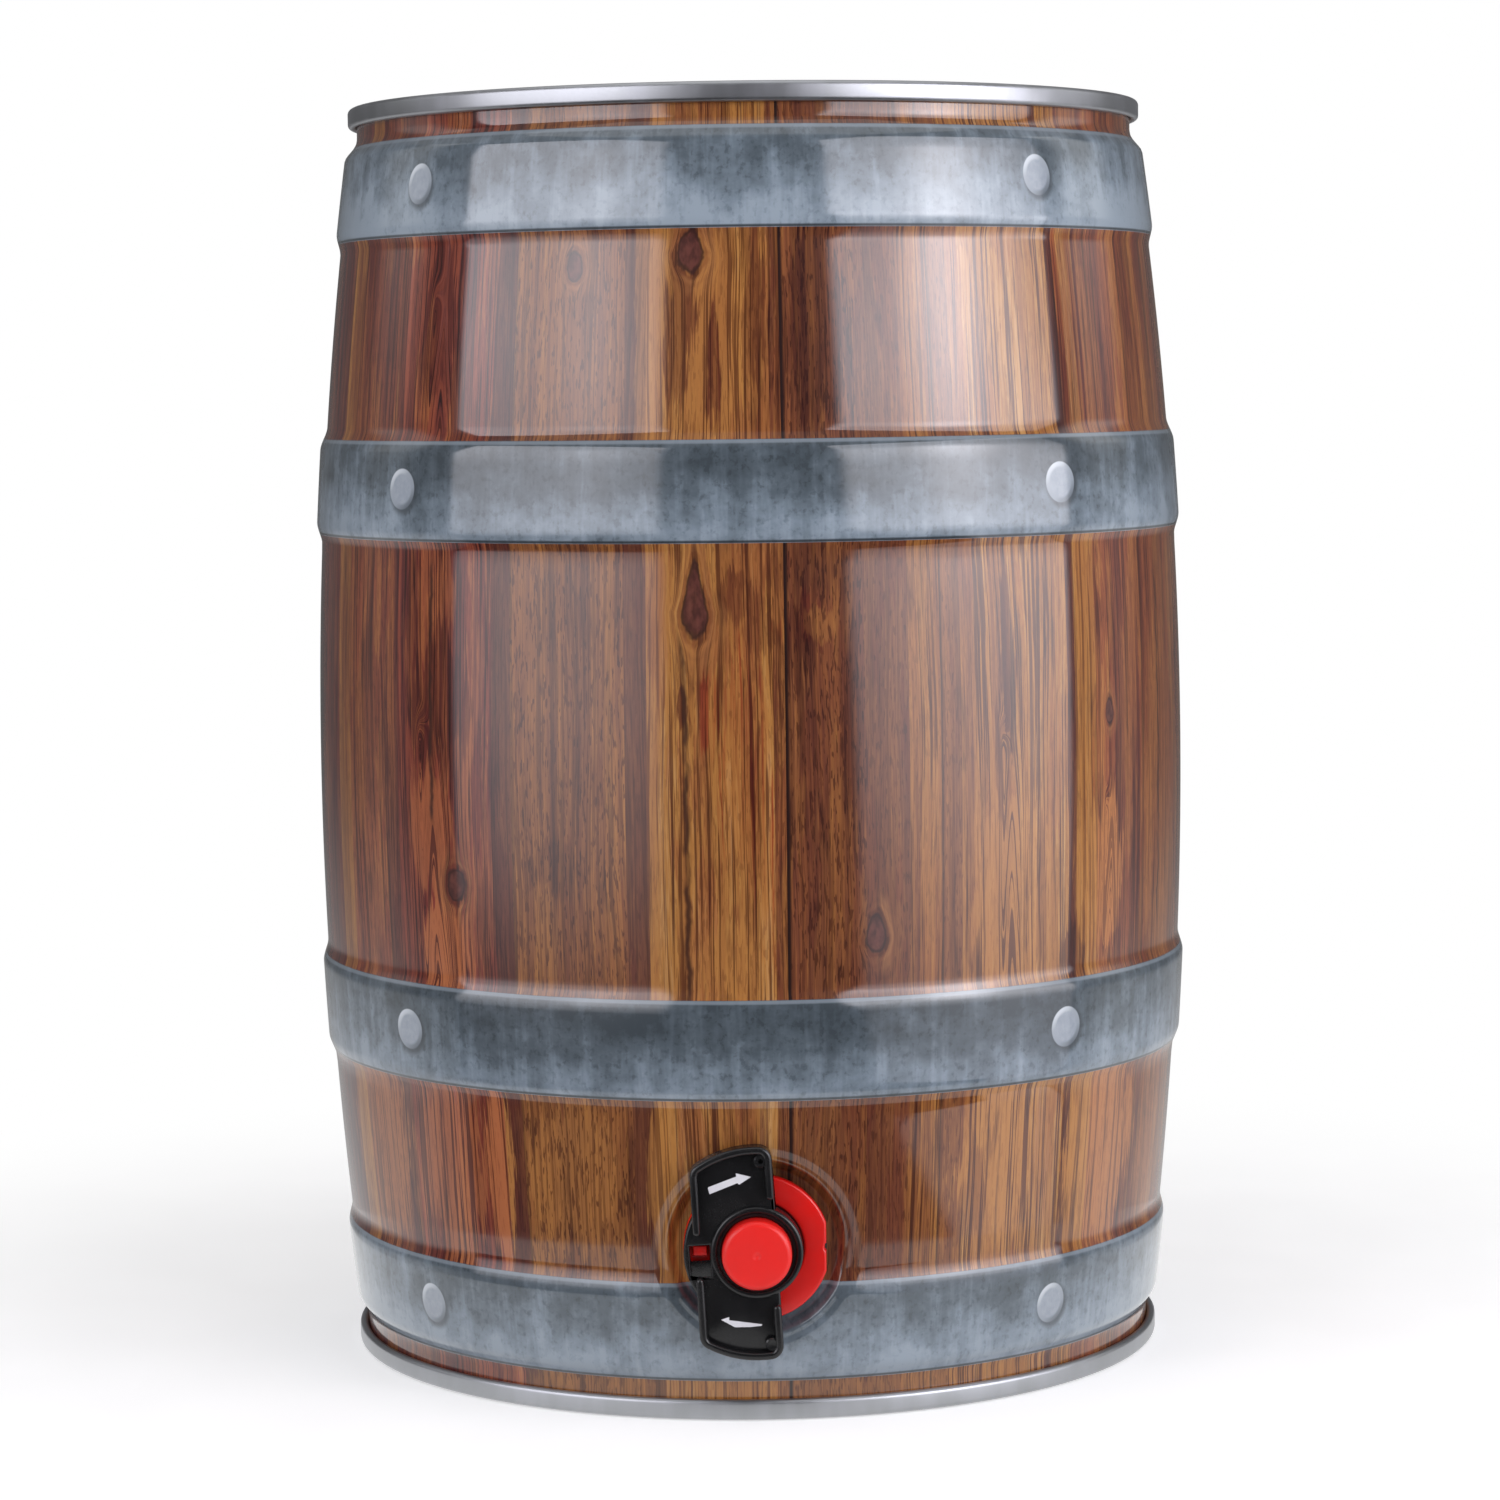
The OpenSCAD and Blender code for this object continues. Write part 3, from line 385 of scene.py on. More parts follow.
def printedSheet():
    look = SimpleNamespace(**printLook)
    arcLength = math.radians(1) * look.radius * mm  # of one degree
    material, shader, spot = newMaterial("printedSheet")
    tree = spot.tree
    x, y, z = splitAxes(spot)
    turn = calc("ARCTAN2", x, y * -1.0)
    across = turn * (look.radius * mm)
    share = calc("MULTIPLY_ADD", turn, 0.5 / math.pi, 0.5)

    def fine(value, factor):
        return (value - 0.5) * factor

    def texture(source, size, seed, detail, roughness=0.55, level=z):
        vector = joinAxes(source * (1 / (size[0] * mm)), level * (1 / (size[1] * mm)), seed)
        return noise(vector, 1.0, detail, roughness)

    # which board, where in it, and its own habits
    starts = [row[0] / 360 + 0.5 for row in look.boards]
    tones, habits = [row[1:4] for row in look.boards], [row[4:] for row in look.boards]
    limits = [(start + 1, 0.05 * i, 0.0) for i, start in enumerate(starts)]

    def perBoard(values, first):
        parts = addNode(tree, "ShaderNodeSeparateColor")
        feed(parts.inputs[0], ramp(share, [(0.0, first)] + list(zip(starts, values)), "CONSTANT"))
        return [Signal(socket) for socket in parts.outputs]

    left, number = perBoard(limits, (starts[-1], 0.05 * (len(starts) - 1), 0.0))[:2]
    ownTone, ownRed, ownJoint = perBoard(tones, tones[-1])
    ownLines, ownFlecks, ownContrast = perBoard(habits, habits[-1])
    around = 2 * math.pi * look.radius * mm
    fromLeft = (share + 1.0 - left) * around
    seed = number * 31.0

    # knots push the grain aside
    group = knotGroup()
    ragged = fine(texture(across, (2.4, 3.2), 3.0, 2.0), 0.55)
    cores, halos, rings, bent = 0.0, 0.0, 0.0, across
    for angle, level, wide, high, point in look.knots:
        knot = addNode(tree, "ShaderNodeGroup", node_tree=group)
        settings = (across, z, ragged, angle * arcLength, level * mm, wide * mm, high * mm, point)
        for socket, value in zip(knot.inputs, settings):
            feed(socket, value)
        core, halo, ring, shift = [Signal(socket) for socket in knot.outputs]
        cores, halos, rings = most(cores, core), most(halos, halo), most(rings, ring)
        bent = bent + shift

    # grain from broad to fine, all drawn out along the board; spikes give stains their ragged ends
    sway = fine(texture(bent, look.sway, seed, 2.0), 5 * mm)
    flow = bent + sway
    grain = flow
    for angle, level, wide, high, steep in look.arches:
        dx, dz = flow - angle * arcLength, z - level * mm
        between = ease(dz, (-high - 9) * mm, -high * mm) * ease(dz, -5 * mm, 5 * mm, 1.0, 0.0)
        inside = ease(abs(dx), 0.5 * wide * mm, wide * mm, 1.0, 0.0) * between
        bow = calc("SQRT", calc("MULTIPLY_ADD", dx, dx, (0.5 * mm) ** 2))
        grain = calc("MULTIPLY_ADD", inside, calc("MULTIPLY_ADD", dz, 1 / steep, bow) - dx, grain)
    spikes = texture(flow, look.spikes, seed, 3.0, 0.65)
    height = z + fine(spikes, 32 * mm)

    broad = texture(flow, look.broad, seed, 2.0)
    streak = texture(grain, look.streak, seed, 4.0, 0.64)
    lines = texture(grain, look.lines, seed + 2.2, 3.0, 0.66)
    fibre = texture(grain, look.fibre, seed, 2.0, 0.6)
    clumps = texture(flow, look.clumps, seed + 3.3, 4.0, 0.6, height)
    flecks = texture(flow, look.flecks, seed + 7.7, 4.0, 0.6, height)
    pores = texture(flow, look.pores, seed + 5.1, 1.5)

    def places(rows, point):
        # ragged spots at given places, narrowing upwards, the strongest winning
        found = 0.0
        for angle, level, wide, high, strength in rows:
            ex = (flow - angle * arcLength) / (wide * mm)
            ez = (z - level * mm) / (high * mm) + fine(spikes, min(2.4, 22 / high))
            ex = ex / most(calc("MULTIPLY_ADD", ez, -point, 1.0), 0.2)
            far = span(ex, ez)
            edge = far + fine(flecks, 1.1) + fine(fibre, 1.1)
            found = most(found, ease(edge, 0.84, 1.06, strength, 0.0))
        return found

    tone = ownTone + (fine(broad, 0.8) + fine(streak, 1.1)) * ownContrast + fine(fibre, 0.5)
    wood = ramp(tone, look.woodTones)

    def tint(share, color):
        return mixColor(share, wood, color, "MULTIPLY")

    wood = tint(places(look.reddish, 0.3) * ease(streak, 0.42, 0.52, 1.0, 0.15), look.reddishTint)
    redder = ease(calc("MULTIPLY_ADD", ownRed - 0.5, 0.11, clumps), 0.505, 0.535)
    wood = tint(redder * calc("MULTIPLY_ADD", ownRed, 0.62, 0.10), look.clumpTint)
    wood = mixColor(places(look.golden, 0.0), wood, look.gold)
    wood = tint(ease(ownRed, 0.5, 1.0), look.redBoardTint)
    wood = tint(places(look.stains, 0.6) * ease(streak, 0.38, 0.62, 1.0, 0.62), look.stainTint)
    thin = ease(lines, 0.53, 0.57) * (ownLines * 0.95)
    short = ease(pores, 0.56, 0.62) * calc("MULTIPLY_ADD", ownFlecks, 0.8, 0.06)
    wood = tint(most(thin, short), look.lineTint)
    sooty = ease(flecks, 0.57, 0.68) * 0.55
    darkStreak = ease(streak, 0.58, 0.70) * (ownContrast * 0.7)
    wood = tint(most(sooty, darkStreak), look.sootTint)
    wood = mixColor(halos * ease(streak, 0.35, 0.6, 0.45, 0.05), wood, look.halo)
    wood = tint(rings * 0.7, look.ringTint)
    heart = mixColor(ease(texture(across, (1.6, 2.8), 2.0, 2.0), 0.32, 0.68), *look.heart)
    wood = mixColor(cores * 0.94, wood, heart)
    wood = mixColor(cores * (1.0 - cores) * 3.2, wood, look.knotEdge)

    # cracks, then the joints between the boards
    patchy = ease(texture(across, (3, 9), 5.0, 3.0), 0.36, 0.52, 0.6, 1.0)
    wander = bent + sway * 0.3 + fine(texture(across, (30, 5), 6.0, 2.0), 1.6 * mm)
    split = 0.0
    for angle, low, high, wide in look.cracks:
        off = abs(wander - angle * arcLength)
        inside = ease(z, (low - 6) * mm, low * mm) * ease(z, high * mm, (high + 9) * mm, 1.0, 0.0)
        split = most(split, inside * ease(off, 0.2 * wide * mm, 1.8 * wide * mm, 0.9, 0.0))
    split = split * patchy
    joint = ease(fromLeft, 0.55 * mm, 1.1 * mm, 1.0, 0.0) * ownJoint
    lit = ease(fromLeft, 1.0 * mm, 1.4 * mm) * ease(fromLeft, 1.6 * mm, 2.9 * mm, 0.4, 0.0)
    wood = tint(lit * ownJoint, look.litEdgeTint)
    wood = mixColor(split, wood, look.crack)
    wood = mixColor(joint, wood, look.joint)

    # hoops: dark above, pale and mottled below, with a light top line and a dark lower line; paler towards both
    # sides, where a painted reflection of the side panels stands
    half = look.hoopWidth / 2 * mm
    band, drop, own = 0.0, 0.0, 0.0
    for level, shade in zip(look.hoopLevels, look.hoopTones):
        offset = z - level * mm
        inside = ease(abs(offset), half - 0.1 * mm, half + 0.1 * mm, 1.0, 0.0)
        band = most(band, inside)
        drop = drop + offset * inside
        own = own + inside * shade
    cloud = texture(across, (8, 7), 4.0, 4.0, 0.62)
    speck = texture(across, (1.3, 1.6), 9.0, 3.0, 0.6)
    runs = texture(across, (3.6, 30), 14.0, 3.0, 0.65)
    # the rise with abs(turn) is a painted reflection of the side panels on both sides of the hoops
    pale = own + ease(abs(turn), 0.75, 1.2, 0.0, 0.22) + ease(drop, -8.0 * mm, 6.0 * mm, 0.80, 0.24)
    pale = pale + fine(cloud, 1.15) + ease(runs, 0.40, 0.75, -0.08, 0.20)
    pale = calc("SUBTRACT", pale, ease(speck, 0.50, 0.70, -0.04, 0.15), clamp=True)
    grey = ramp(pale, look.hoopGreys)
    grey = mixColor(ease(drop, half - 0.9 * mm, half - 0.5 * mm, 0.0, 0.55), grey, look.hoopTopLine)
    grey = mixColor(ease(drop, -half + 0.35 * mm, -half + 0.7 * mm, 0.85, 0.0), grey, look.hoopLowLine)

    # printed rivets, lit from the upper left, with a printed shadow
    apart = math.radians(look.rivetSpacing / 2)
    local = calc("WRAP", turn - math.radians(look.rivetTurn), apart, -apart)
    aside = local * (look.radius * mm)

    def distance(dx, dz):
        return span(aside - dx * mm, drop - dz * mm)

    head, lift = look.rivetRadius * mm, look.rivetLift
    middle = distance(0.0, lift)
    facing = aside * (-0.55 / head) + (drop - lift * mm) * (0.83 / head)
    grey = mixColor(ease(distance(0.5, lift - 0.6), 0.9 * head, 1.28 * head, 0.7, 0.0), grey, look.rivetShadow)
    crown = ramp(calc("MULTIPLY_ADD", facing, 0.5, 0.5), look.rivetGreys)
    top = mixColor(ease(speck, 0.3, 0.7), *look.rivetTop)
    crown = mixColor(ease(middle, 0.66 * head, 0.84 * head, 1.0, 0.0), crown, top)
    grey = mixColor(ease(middle, head - 0.15 * mm, head + 0.15 * mm, 1.0, 0.0), grey, crown)
    feed(shader.inputs["Base Color"], mixColor(band, wood, grey))

    # clear lacquer over the print, a little less even where the grain is stained
    feed(shader.inputs["Roughness"], ease(clumps, 0.3, 0.7, 0.29, 0.36))
    for name, value in (("Specular IOR Level", 0.18), ("Coat Weight", 1.0), ("Coat Roughness", 0.07),
                        ("Coat IOR", 1.65)):
        shader.inputs[name].default_value = value
    return material


printed = printedSheet()
print("print made")

# keg body: a flat sheet with rings round the tap hole, rolled into the barrel by a node tree
kegSizes = dict(
    height=245.0, bellyRadius=85.93, bellyLevel=116.5, bowRadius=870.0, baseNeck=78.5, topNeck=76.5, neckHeight=5.4,
    neckBlend=5.0,
    hoopWidth=18.7, hoopRise=1.15, hoopBlend=4.5, hoop1=16.4, hoop2=69.4, hoop3=171.1, hoop4=227.9,
    tapLevel=32.5, recessFloor=78.744, recessInner=14.65, recessOuter=16.9, shoulderOuter=19.6, shoulderDepth=0.32,
)
sheetSizes = dict(bottom=1.0, top=244.0, thickness=0.4, holeRadius=10.68, blockHalf=27.0, blockLow=8.5,
                  blockHigh=56.5, rollRadius=82.0, coarse=2.1, fine=0.62, fineWithin=3.4, neckEdge=7.9,
                  besideSteps=56, blockSteps=40, blendSteps=13, innerRings=(11.6, 12.6, 13.4, 14.0), firstRing=14.4,
                  ringStep=0.22, ringCount=26, lastRing=20.4)
hoopNames = ("hoop1", "hoop2", "hoop3", "hoop4")


def rollTree(material):
    tree = bpy.data.node_groups.new("rollBarrel", "GeometryNodeTree")
    tree.interface.new_socket("Geometry", in_out="INPUT", socket_type="NodeSocketGeometry")
    for name in kegSizes:
        tree.interface.new_socket(name, in_out="INPUT", socket_type="NodeSocketFloat")
    tree.interface.new_socket("Geometry", in_out="OUTPUT", socket_type="NodeSocketGeometry")
    size = groupInputs(tree)
    turn, level = splitAxes(Signal(addNode(tree, "GeometryNodeInputPosition").outputs[0]))[:2]

    # the bow of the staves, then the hoops
    fall = level - size["bellyLevel"]
    bow = fall * fall / (size["bowRadius"] * 2.0)
    raised = 0.0
    reach = size["hoopWidth"] * 0.5
    soft = size["hoopBlend"] * 0.5
    inner, outer = reach - soft, reach + soft
    for name in hoopNames:
        away = abs(level - size[name])
        raised = most(raised, ease(away, inner, outer, 1.0, 0.0))
    radius = size["bellyRadius"] - bow + size["hoopRise"] * raised

    # drawn in to the two necks
    lower = calc("LESS_THAN", level, size["height"] * 0.5)
    neck = size["topNeck"] + lower * (size["baseNeck"] - size["topNeck"])
    fromEnd = calc("MINIMUM", level, size["height"] - level)
    swell = ease(fromEnd, size["neckHeight"], size["neckHeight"] + size["neckBlend"])
    radius = neck + (radius - neck) * swell
    x = radius * calc("SINE", turn)
    y = radius * (calc("COSINE", turn) * -1.0)

    # the stamped recess for the tap
    above = level - size["tapLevel"]
    fromTap = span(x, above)
    front = calc("LESS_THAN", y, 0.0)
    y = y + ease(fromTap, size["recessOuter"], size["shoulderOuter"], size["shoulderDepth"], 0.0) * front
    pressed = ease(fromTap, size["recessInner"], size["recessOuter"], 1.0, 0.0) * front
    y = y - (y + size["recessFloor"]) * pressed

    shape = size["Geometry"]
    for kind, settings in (("SetPosition", dict(Position=joinAxes(x, y, level))),
                           ("MergeByDistance", dict(Distance=0.01 * mm)), ("SetShadeSmooth", {}),
                           ("RealizeInstances", {}), ("SetMaterial", dict(Material=material))):
        node = addNode(tree, "GeometryNode" + kind)
        for name, value in dict(Geometry=shape, **settings).items():
            feed(node.inputs[name], value)
        shape = node.outputs[0]
    feed(addNode(tree, "NodeGroupOutput").inputs[0], shape)
    return tree


def sheetLevels(low, high):
    size = SimpleNamespace(**sheetSizes)
    edges = [kegSizes[name] + side * kegSizes["hoopWidth"] / 2 for name in hoopNames for side in (-1, 1)]
    edges += [size.neckEdge, kegSizes["height"] - size.neckEdge]
    levels = [low]
    while True:
        near = min(abs(levels[-1] - edge) for edge in edges) < size.fineWithin
        step = size.fine if near else size.coarse
        if levels[-1] + 1.4 * step > high:
            return levels + [high]
        levels.append(levels[-1] + step)


def flatSheet():
    size = SimpleNamespace(**sheetSizes)
    half = size.blockHalf / size.rollRadius
    left, middle = size.besideSteps, size.blockSteps
    beside = [half + (math.pi - half) * i / left for i in range(1, left + 1)]
    turns = [-t for t in reversed(beside)] + [-half + 2 * half * i / middle for i in range(middle + 1)] + beside
    low = sheetLevels(size.bottom, size.blockLow)
    block = sheetLevels(size.blockLow, size.blockHigh)
    levels = low + block[1:] + sheetLevels(size.blockHigh, size.top)[1:]
    right, lower, upper = left + middle, len(low) - 1, len(low) + len(block) - 2
    bm = bmesh.new()
    grid = {}
    for j, level in enumerate(levels):
        for i, turn in enumerate(turns):
            if not (left < i < right and lower < j < upper):
                grid[i, j] = bm.verts.new((turn, level * mm, 0))
    for j in range(len(levels) - 1):
        for i in range(len(turns) - 1):
            if not (left <= i < right and lower <= j < upper):
                bm.faces.new((grid[i, j], grid[i + 1, j], grid[i + 1, j + 1], grid[i, j + 1]))
    walk = [(i, lower) for i in range(left, right)] + [(right, j) for j in range(lower, upper)]
    walk += [(i, upper) for i in range(right, left, -1)] + [(left, j) for j in range(upper, lower, -1)]
    rim = [grid[spot] for spot in walk]
    corners = [(v.co.x * size.rollRadius, v.co.y / mm - kegSizes["tapLevel"]) for v in rim]
    radii = [size.holeRadius, *size.innerRings]
    radii += [size.firstRing + size.ringStep * k for k in range(size.ringCount)] + [size.lastRing]
    rings = []
    for radius in radii:
        reaches = [radius / math.hypot(x, y) for x, y in corners]
        rings.append([(x * reach, y * reach) for (x, y), reach in zip(corners, reaches)])
    outer, steps = rings[-1], size.blendSteps
    for k in range(1, steps):
        rings.append([(a + (x - a) * k / steps, b + (y - b) * k / steps) for (a, b), (x, y) in zip(outer, corners)])
    made = [[bm.verts.new((x / size.rollRadius, (y + kegSizes["tapLevel"]) * mm, 0)) for x, y in ring]
            for ring in rings]
    made.append(rim)
    for a, b in zip(made, made[1:]):
        for k in range(len(a)):
            n = (k + 1) % len(a)
            bm.faces.new((a[k], b[k], b[n], a[n]))
    return bm


def kegBody():
    piece = meshObject("kegBody", flatSheet(), printed, 180)
    tree = rollTree(printed)
    roll = addModifier(piece, "roll", "NODES", node_group=tree)
    for item in tree.interface.items_tree:
        if item.in_out == "INPUT" and item.name in kegSizes:
            roll[item.identifier] = kegSizes[item.name] * mm
    addModifier(piece, "wall", "SOLIDIFY", thickness=sheetSizes["thickness"] * mm, offset=-1.0)
    return plainMesh(piece)


body = kegBody()
dress(body, "keg", "printed_sheet", "keg_body")
print("keg body rolled,", len(body.data.polygons), "faces")


# tinplate of the two ends: satin, with fine rolling marks
def tinplate():
    material, shader, spot = newMaterial("satinTin")
    x, y, z = splitAxes(spot)
    marks = noise(joinAxes(x * 3000.0, y * 90.0, z * 1500.0), 1.0, 3.0)
    worn = noise(joinAxes(x * 220.0, y * 24.0, z * 60.0), 1.0, 4.0)
    feed(shader.inputs["Base Color"], mixColor(ease(worn, 0.3, 0.75), (0.39, 0.40, 0.42), (0.44, 0.45, 0.48)))
    shader.inputs["Metallic"].default_value = 1.0
    feed(shader.inputs["Roughness"], ease(worn, 0.25, 0.8, 0.31, 0.37) + marks * 0.08)
    addBump(shader, marks, 0.04, 0.1 * mm)
    return material


tin = tinplate()
endSizes = dict(sheet=0.4, seamHeight=3.8, seamBend=0.75, grooveBend=0.7, wellDepth=8.3, grooveWidth=3.6,
                grooveDepth=1.8, chuck=-0.64, hook=0.24, seam=1.54, hookTip=1.5, bungHole=17.5)


def fromRim(x, y, depth):
    return (x * mm, y * mm, (kegSizes["height"] - depth) * mm)


def aboveRim(x, y, level):
    return fromRim(x, y, -level)


def fromFoot(x, y, depth):
    return (x * mm, y * mm, depth * mm)


def canEnd(name, neck, hole, place):
    size = SimpleNamespace(**endSizes)
    half = size.sheet / 2
    chuck, hook, seam = neck + size.chuck, neck + size.hook, neck + size.seam
    panel = size.wellDepth + half
    groove = chuck - size.grooveWidth
    turnIn = (seam - hook) / 2
    hookLow = size.seamHeight - half - turnIn
    b, g = size.seamBend, size.grooveBend

    def line(off):
        # one face of the sheet, off to the side of its middle line
        path = [(hook - off, size.hookTip)]
        path += arc(hook + turnIn, hookLow, turnIn + off, 180, 0, 12)
        path += arc(seam - b, half + b, b + off, 0, -90, 8)
        path += arc(chuck + b, half + b, b + off, -90, -180, 8)
        path += arc(chuck - g, panel + size.grooveDepth - g, g - off, 0, 90, 7)
        path += arc(groove + g, panel + size.grooveDepth - g, g - off, 90, 180, 7)
        path += arc(groove - g, panel + g, g + off, 0, -90, 7)
        return path + [(r, panel - off) for r in (groove - 8, groove - 9, (groove + hole) / 2, hole + 1, hole)
                       if r >= 0]

    bm = bmesh.new()
    turned(bm, line(half) + line(-half)[::-1], place, 192)
    return meshObject(name, bm, tin, 50)


topEnd = canEnd("topEnd", kegSizes["topNeck"], endSizes["bungHole"], fromRim)
dress(topEnd, "keg", "tinplate", "top_end")
baseEnd = canEnd("baseEnd", kegSizes["baseNeck"], 0.0, fromFoot)
dress(baseEnd, "keg", "tinplate", "bottom_end")
print("ends made")


# moulded plastics and rubber
def moulded(name, color, deeper, roughness, grainScale, grainDepth):
    material, shader, spot = newMaterial(name)
    cloud = noise(spot, 120.0, 3.0, 0.6)
    grain = noise(spot, grainScale, 3.0, 0.6)
    feed(shader.inputs["Base Color"], mixColor(ease(cloud, 0.3, 0.75), color, deeper))
    feed(shader.inputs["Roughness"], ease(cloud + grain, 0.7, 1.3, roughness - 0.05, roughness + 0.07))
    addBump(shader, grain, grainDepth, 0.2 * mm)
    return material


redPlastic = moulded("redPlastic", (0.74, 0.011, 0.008), (0.68, 0.009, 0.006), 0.34, 2600.0, 0.08)
redGloss = moulded("redGloss", (0.66, 0.007, 0.005), (0.60, 0.006, 0.004), 0.20, 2600.0, 0.03)
blackPlastic = moulded("blackPlastic", (0.0075, 0.0075, 0.0082), (0.0115, 0.0115, 0.0122), 0.21, 3200.0, 0.06)
whitePlastic = moulded("whitePlastic", (0.78, 0.78, 0.76), (0.72, 0.72, 0.69), 0.40, 2600.0, 0.08)
whiteInk = moulded("whiteInk", (0.70, 0.70, 0.73), (0.52, 0.52, 0.56), 0.55, 5200.0, 0.25)
rubber = moulded("rubber", (0.020, 0.020, 0.021), (0.030, 0.029, 0.028), 0.62, 2200.0, 0.20)

# tap: distances out are from the keg's axis, across and up from the tap's axis
tapSizes = dict(
    level=32.5, tilt=3.0,
    flangeRadius=13.5, flangeFlat=12.75, flangeBack=79.745, flangeFace=81.745, flangeEdge=0.55, notch=0.7,
    barrelRadius=10.38, barrelBore=8.58, barrelBack=31.53, barrelFloor=33.53, stubX=10.4, stubWide=2.6, stubHigh=1.8,
    stubFace=83.75,
    wingRadius=19.7, wingLeft=11.4, wingRight=3.8, wingCorner=2.5, wingBack=84.03, plateFace=85.524, plateEdge=0.45,
    rimFace=87.42, rimWidth=1.45, rimLeft=4.6, rimRight=10.4, rimEdge=0.62, bossRadius=1.25, bossHole=0.45,
    discRadius=13.4, discBack=82.05, skirt=1.1, windowX=-12.2, windowWide=3.6, windowLow=-4.0, windowHigh=1.8,
    windowSlope=40,
    hubRadius=8.5, hubFace=86.324, hubEdge=0.6, guideRadius=6.49, guideBack=73.424, sleeveBore=7.0, sleeveBack=34.73,
    buttonRadius=6.4, buttonFace=89.62, buttonEdge=1.15, spoutBack=37.13, spoutBore=4.9, frontWall=2.2,
    stopFrom=37.53, stopTo=39.52, stopRadius=6.88,
    outletAt=79.674, outletRadius=3.2, drillFrom=1.0, drillTo=9.0, handleHole=7.3, slopeRun=2.6, slopeStart=0.35,
    # radius and depth behind the face: steps round the hub's mouth, the small dimple in the button
    hubSteps=((7.55, 0.0), (7.4, 0.08), (7.3, 0.45), (7.2, 0.55), (6.75, 0.55)),
    dimple=((0, 0.22), (0.35, 0.20), (0.62, 0.07), (0.85, 0.02), (1.1, 0.0), (3.0, 0.02)), buttonDrop=0.10,
)


def onTap(x, y, out):
    return (x * mm, -out * mm, (tapSizes["level"] + y) * mm)


def onHandle(x, y, out):
    t = math.radians(tapSizes["tilt"])
    return onTap(x * math.cos(t) - y * math.sin(t), x * math.sin(t) + y * math.cos(t), out)


def tapHousing():
    size = SimpleNamespace(**tapSizes)
    bm = bmesh.new()
    turnTo = math.degrees(math.acos(size.flangeFlat / size.flangeRadius))
    edge = arc(0, 0, size.flangeRadius, turnTo, 360 - turnTo, 96)
    flat, n = size.flangeFlat, size.notch
    edge += [(flat, -1.6), (flat, -n), (flat - 0.25, -n + 0.15), (flat - 0.35, 0), (flat - 0.25, n - 0.15), (flat, n),
             (flat, 1.6)]
    slab(bm, [edge, circle(size.barrelBore, 96)[::-1]], size.flangeBack, size.flangeFace, size.flangeEdge, onTap, 5)
    inner, outer = size.barrelBore, size.barrelRadius
    turned(bm, [(inner, size.flangeBack + 0.2), (outer, size.flangeBack + 0.2), (outer, size.barrelBack + 0.6),
                (outer - 0.6, size.barrelBack), (0, size.barrelBack), (0, size.barrelFloor),
                (inner, size.barrelFloor)], onTap)
    stub = box(-size.stubX, size.stubWide / 2, size.stubHigh / 2)
    slab(bm, [stub], size.flangeFace - 0.4, size.stubFace, 0.25, onTap)
    return meshObject("tapHousing", bm, redGloss, 32)


def wingEnd(inset):
    # the upper wing's outline from its right side over the tip to its left side
    size = SimpleNamespace(**tapSizes)
    radius, q = size.wingRadius - inset, size.wingCorner - inset
    right = (size.wingRight - inset - q, math.sqrt((radius - q) ** 2 - (size.wingRight - inset - q) ** 2))
    left = (-size.wingLeft + inset + q, math.sqrt((radius - q) ** 2 - (size.wingLeft - inset - q) ** 2))
    toRight, toLeft = [math.degrees(math.atan2(p[1], p[0])) for p in (right, left)]
    tip = arc(0, 0, radius, toRight, toLeft, 16)[:-1]
    return arc(*right, q, 0, toRight, 10)[:-1] + tip + arc(*left, q, toLeft, 180, 10)


def wingRim():
    # a band along the wing's edge with round ends
    size = SimpleNamespace(**tapSizes)
    w = size.rimWidth
    outer, inner = wingEnd(0.02), wingEnd(w)
    rightEnd = arc(size.wingRight - w / 2, size.rimRight, w / 2 - 0.01, 180, 360, 10)
    leftEnd = arc(-size.wingLeft + w / 2, size.rimLeft, w / 2 - 0.01, 180, 360, 10)
    return rightEnd + outer + leftEnd + inner[::-1]


